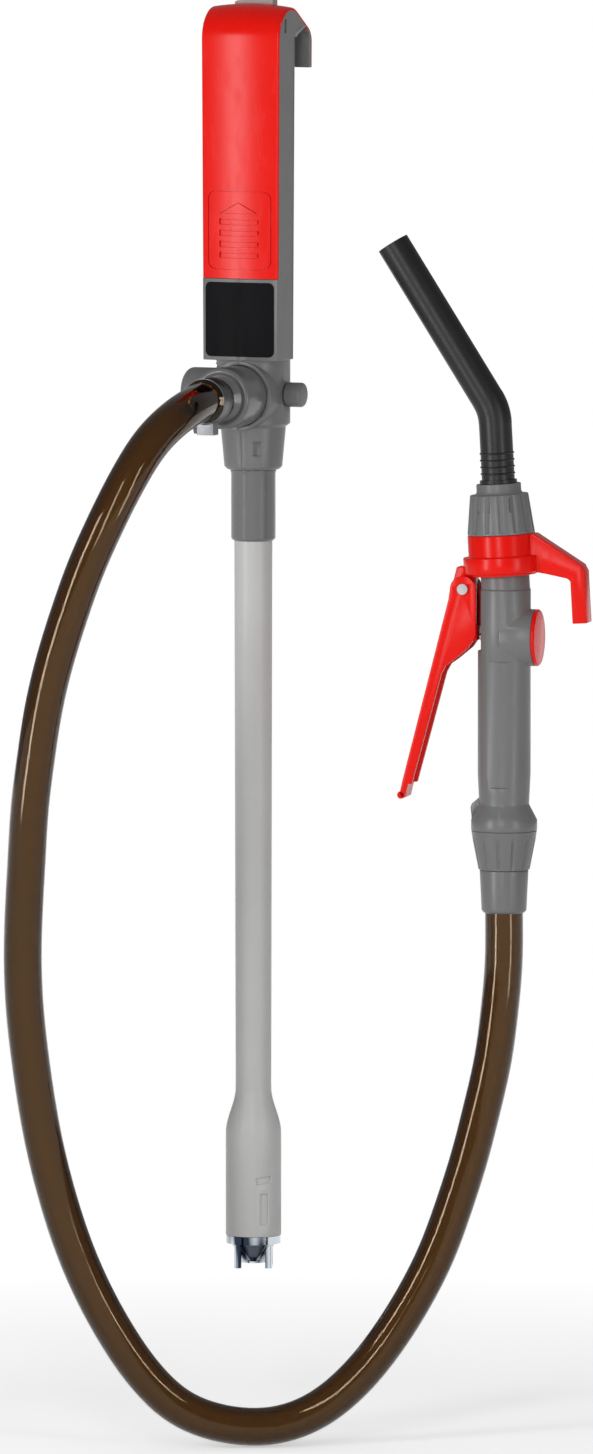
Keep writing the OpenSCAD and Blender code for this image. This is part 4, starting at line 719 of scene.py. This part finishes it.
def carve(mesh, cutters):
    """The mesh less each cutter"""
    block = linked("block", mesh)
    tools = [linked("cutter", to_closed_mesh("cutter", cutter)) for cutter in cutters]
    for tool in tools:
        modifier = block.modifiers.new("cut", "BOOLEAN")
        modifier.operation = "DIFFERENCE"
        modifier.solver = "EXACT"
        modifier.object = tool
    bpy.context.view_layer.update()
    depsgraph = bpy.context.evaluated_depsgraph_get()
    cut = bpy.data.meshes.new_from_object(block.evaluated_get(depsgraph))
    for done in tools + [block]:
        bpy.data.objects.remove(done)
    return cut


def rounded(half, low, high, radius, steps):
    """A rectangle with round corners, centred across"""
    points = []
    for x, z, start in (
        (half - radius, high - radius, 0), (-half + radius, high - radius, 90),
        (-half + radius, low + radius, 180), (half - radius, low + radius, 270),
    ):
        for k in range(steps + 1):
            angle = math.radians(start + 90 * k / steps)
            points.append((x + radius * math.cos(angle), z + radius * math.sin(angle)))
    return points


SIDE_PARTS = 8


def finely(points):
    """The same outline with each side in equal parts, so that it can follow the crown"""
    fine = []
    for (a, b), (c, d) in zip(points, points[1:] + points[:1]):
        for k in range(SIDE_PARTS):
            fine.append((a + (c - a) * k / SIDE_PARTS, b + (d - b) * k / SIDE_PARTS))
    return fine


CUTTER_OUT = 0.004


def groove_cutter(outer, inner, deep):
    """A groove in the cover's crowned front, between two outlines of the same count"""
    def place(x, z, height):
        fall = FRONT_CROWN * (x / half_width(z)) ** 2
        return Vector((x, FRONT_Y + fall - height, z))

    mesh = bmesh.new()
    rings = [
        [place(x, z, height) for x, z in finely(outline)]
        for outline, height in (
            (outer, -deep), (outer, CUTTER_OUT), (inner, CUTTER_OUT), (inner, -deep),
        )
    ]
    made = join_rings(mesh, rings)
    join_ends(mesh, made[-1], made[0])
    return mesh


# Thumb pad: an outlined field with four ribs and an arrow
LINE_W = 0.0008
LINE_DEEP = 0.0012
PAD_HALF = 0.0235
PAD_LOW = 0.664
PAD_HIGH = 0.718
PAD_CORNER_R = 0.006
PAD_CORNER_STEPS = 6
RIBS = 4
RIB_HALF = 0.0147
RIB_LOW = 0.6717
RIB_STEP = 0.0076
RIB_T = 0.0046
RIB_LINE = 0.0012
RIB_DEEP = 0.0015
RIB_CORNER_R = 0.0009
RIB_INNER_R = 0.0002
RIB_CORNER_STEPS = 3
ARROW_LOW = 0.7022
ARROW_HIGH = 0.7102
ARROW_HALF = 0.0148
ARROW_INNER_HALF = 0.0120
ARROW_TIP_W = 0.0009


def pad_cutter():
    outer = rounded(PAD_HALF, PAD_LOW, PAD_HIGH, PAD_CORNER_R, PAD_CORNER_STEPS)
    inner = rounded(
        PAD_HALF - LINE_W, PAD_LOW + LINE_W, PAD_HIGH - LINE_W, PAD_CORNER_R - LINE_W,
        PAD_CORNER_STEPS,
    )
    return groove_cutter(outer, inner, LINE_DEEP)


def rib_cutter(k):
    low = RIB_LOW + RIB_STEP * k
    high = low + RIB_T
    outer = rounded(RIB_HALF, low, high, RIB_CORNER_R, RIB_CORNER_STEPS)
    inner = rounded(
        RIB_HALF - RIB_LINE, low + RIB_LINE, high - RIB_LINE, RIB_INNER_R, RIB_CORNER_STEPS,
    )
    return groove_cutter(outer, inner, RIB_DEEP)


def arrow_cutter():
    inner_low = ARROW_LOW + LINE_W
    outer = [(-ARROW_HALF, ARROW_LOW), (ARROW_HALF, ARROW_LOW), (0, ARROW_HIGH)]
    inner = [
        (-ARROW_INNER_HALF, inner_low), (ARROW_INNER_HALF, inner_low), (0, ARROW_HIGH - ARROW_TIP_W),
    ]
    return groove_cutter(outer, inner, LINE_DEEP)


def add_cover():
    cutters = [pad_cutter()] + [rib_cutter(k) for k in range(RIBS)] + [arrow_cutter()]
    new_piece("cover_shell", carve(cover_mesh(), cutters), RED, "battery_door", sharp=32)


add_cover()


# Sides of the case: flat plates under the cover's rim, each with a small pocket
SIDE_T = 0.0022
SIDE_PROUD = 0.00004
SIDE_LAP = 0.0004
SIDE_LOW = 0.6024
SIDE_FRONT_Y = -0.0222
SIDE_STEP_Y = -0.0207

# The hook's inside: each corner is a curve from one point to another that bends toward a third
TIP_Y = 0.0302
TIP_CORNER = ((TIP_Y, 0.8195), (0.0297, 0.8284), (0.0205, 0.8292))
TIP_CORNER_STEPS = 4
BACK_Y = 0.0040
BACK_CORNER = ((0.0125, 0.8290), (0.0052, 0.8278), (BACK_Y, 0.8150))
BACK_CORNER_STEPS = 3

# The pocket: a slot with pointed ends
POCKET_Y = -0.0112
POCKET_HALF = 0.0020
POCKET_LOW = 0.8260
POCKET_HIGH = 0.8340
POCKET_END = 0.0012
POCKET_DEEP = 0.0018
POCKET_OUT = 0.001


def curve(start, toward, end, steps):
    """Points along a smooth bend"""
    points = []
    for k in range(steps + 1):
        t = k / steps
        point = Vector(start) * (1 - t) ** 2 + Vector(toward) * 2 * t * (1 - t) + Vector(end) * t ** 2
        points.append(point)
    return points


def side_outline():
    """Up the case's front edge, along the profile below the cover's rim and down inside the hook"""
    outline = [
        (SIDE_FRONT_Y, SIDE_LOW), (SIDE_FRONT_Y, COVER_LOW - SIDE_LAP),
        (SIDE_STEP_Y, COVER_LOW + SIDE_LAP),
    ]
    for y, z, out_y, out_z, crown in head_path()[FRONT_STEPS - 1:]:
        deep = crown + COVER_T - SIDE_LAP
        outline.append((y - out_y * deep, z - out_z * deep))
    outline.append((TIP_Y, HOOK_LOW))
    outline += curve(*TIP_CORNER, TIP_CORNER_STEPS)
    outline += curve(*BACK_CORNER, BACK_CORNER_STEPS)
    outline.append((BACK_Y, SIDE_LOW))
    return outline


def pocket_outline():
    left = POCKET_Y - POCKET_HALF
    right = POCKET_Y + POCKET_HALF
    return [
        (left, POCKET_LOW), (left, POCKET_HIGH), (POCKET_Y, POCKET_HIGH + POCKET_END),
        (right, POCKET_HIGH), (right, POCKET_LOW), (POCKET_Y, POCKET_LOW - POCKET_END),
    ]


def slab(outline, low, high, place):
    """A closed slab between two depths over an outline"""
    mesh = bmesh.new()
    made = join_rings(mesh, [[place(y, z, depth) for y, z in outline] for depth in (low, high)])
    mesh.faces.new(made[0][::-1])
    mesh.faces.new(made[1])
    return mesh


def add_side(name, side, node):
    def place(y, z, inward):
        return Vector((side * (half_width(z) + SIDE_PROUD - inward), y, z))

    plate = to_closed_mesh(name, slab(side_outline(), 0, SIDE_T, place))
    pocket = slab(pocket_outline(), -POCKET_OUT, POCKET_DEEP, place)
    new_piece(name, carve(plate, [pocket]), GREY, node, stands_for=False)


add_side("side_right", 1, "case_right")
add_side("side_left", -1, "case_left")


# Lever: its round toe, across the nozzle
TOE_X = -0.0698
TOE_H = 0.0797
TOE_R = 0.0026
TOE_CORE_R = 0.0004
TOE_HALF = 0.0105
TOE_EDGE = 0.0006
TOE_SIDES = 32


def add_lever_toe():
    rows = [
        (-TOE_HALF, TOE_CORE_R, 0), (-TOE_HALF, TOE_R - TOE_EDGE, 0), (TOE_EDGE - TOE_HALF, TOE_R, 0),
        (TOE_HALF - TOE_EDGE, TOE_R, 0), (TOE_HALF, TOE_R - TOE_EDGE, 0), (TOE_HALF, TOE_CORE_R, 0),
    ]
    place = NOZZLE @ at(TOE_X, 0, TOE_H) @ turn(90, "X")
    toe = turned("lever_toe", rows, TOE_SIDES, place)
    new_piece("lever_toe", toe, RED, "lever", stands_for=False)


add_lever_toe()


# Studio: a pale floor that runs out of sight, an even sky and soft lamps
FLOOR_GAP = 0.001
FLOOR_R = 16.0
FLOOR_SIDES = 96
FLOOR_LIFT = 0.45
SHADOW_R = 0.25
CLEAR_R = 0.9
SKY_LIGHT = 0.30
SKY_SEEN = 1.0
WHITE = (1, 1, 1, 1)


def floor_finish():
    """Pale and matt, with the object's shadow near it and plain white to the eye further out"""
    s = Shading("studio_floor")
    tone = s.mix(s.noise(scale=3, detail=3), (0.86, 0.86, 0.86), (0.88, 0.88, 0.88))
    s.feed(Base_Color=tone, Normal=s.bump(s.noise(scale=240, detail=3), 0.0002, 0.2))
    s.set(Roughness=0.9, Specular_IOR_Level=0.2, Emission_Color=WHITE)
    rays = s.node("ShaderNodeLightPath").outputs
    seen = s.maths("MAXIMUM", rays["Is Camera Ray"], rays["Is Glossy Ray"])
    seen = s.maths("MAXIMUM", seen, rays["Is Transmission Ray"])
    s.feed(Emission_Strength=s.ramp(seen, 0, 1, 0, FLOOR_LIFT))
    far = s.node("ShaderNodeVectorMath", operation="LENGTH")
    s.link(s.place, far.inputs[0])
    clear = s.ramp(far.outputs["Value"], SHADOW_R, CLEAR_R, 0, 1)
    blend = s.node("ShaderNodeMixShader")
    s.link(s.maths("MULTIPLY", clear, seen), blend.inputs["Fac"])
    s.link(s.shader.outputs["BSDF"], blend.inputs[1])
    s.link(s.node("ShaderNodeEmission").outputs["Emission"], blend.inputs[2])
    s.link(blend.outputs["Shader"], s.tree.nodes["Material Output"].inputs["Surface"])
    return s.material


def add_floor():
    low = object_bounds()[0][2] - FLOOR_GAP
    mesh = bmesh.new()
    bmesh.ops.create_circle(mesh, cap_ends=True, segments=FLOOR_SIDES, radius=FLOOR_R)
    floor = linked("studio_floor", to_mesh("studio_floor", mesh))
    floor.data.materials.append(floor_finish())
    floor.location = (0, 0, low)


def add_sky():
    """Dim as a light, and white to the eye and through the hose"""
    world = bpy.data.worlds.new("studio")
    bpy.context.scene.world = world
    world.use_nodes = True
    tree = world.node_tree
    light = tree.nodes["Background"]
    light.inputs["Color"].default_value = WHITE
    light.inputs["Strength"].default_value = SKY_LIGHT
    white = tree.nodes.new("ShaderNodeBackground")
    white.inputs["Color"].default_value = WHITE
    white.inputs["Strength"].default_value = SKY_SEEN
    rays = tree.nodes.new("ShaderNodeLightPath")
    seen = tree.nodes.new("ShaderNodeMath")
    seen.operation = "MAXIMUM"
    mix = tree.nodes.new("ShaderNodeMixShader")
    tree.links.new(rays.outputs["Is Camera Ray"], seen.inputs[0])
    tree.links.new(rays.outputs["Is Transmission Ray"], seen.inputs[1])
    tree.links.new(seen.outputs["Value"], mix.inputs["Fac"])
    tree.links.new(light.outputs["Background"], mix.inputs[1])
    tree.links.new(white.outputs["Background"], mix.inputs[2])
    tree.links.new(mix.outputs["Shader"], tree.nodes["World Output"].inputs["Surface"])


# Each lamp's place from the camera's side (right, behind the object, up), its size and its watts
AIM = Vector((0.05, -0.02, 0.42))
LAMPS = {
    "left_lamp": ((-1.75, -1.6, 0.65), (0.40, 1.5), 23),
    "right_lamp": ((1.6, -1.7, 0.55), (0.32, 1.3), 9.5),
    "front_lamp": ((-0.35, -2.5, 1.1), (0.35, 1.5), 14),
}


def add_lamp(name, place, size, watts):
    data = bpy.data.lights.new(name, "AREA")
    data.shape = "RECTANGLE"
    data.size, data.size_y = size
    data.energy = watts
    lamp = linked(name, data)
    spot = Matrix.Rotation(AZIMUTH, 4, "Z") @ Vector(place)
    aimed = (spot - AIM).to_track_quat("Z", "Y").to_matrix().to_4x4()
    lamp.matrix_world = Matrix.Translation(spot) @ aimed


add_sky()
add_floor()
for name, facts in LAMPS.items():
    add_lamp(name, *facts)

bpy.context.scene.view_settings.view_transform = "Standard"
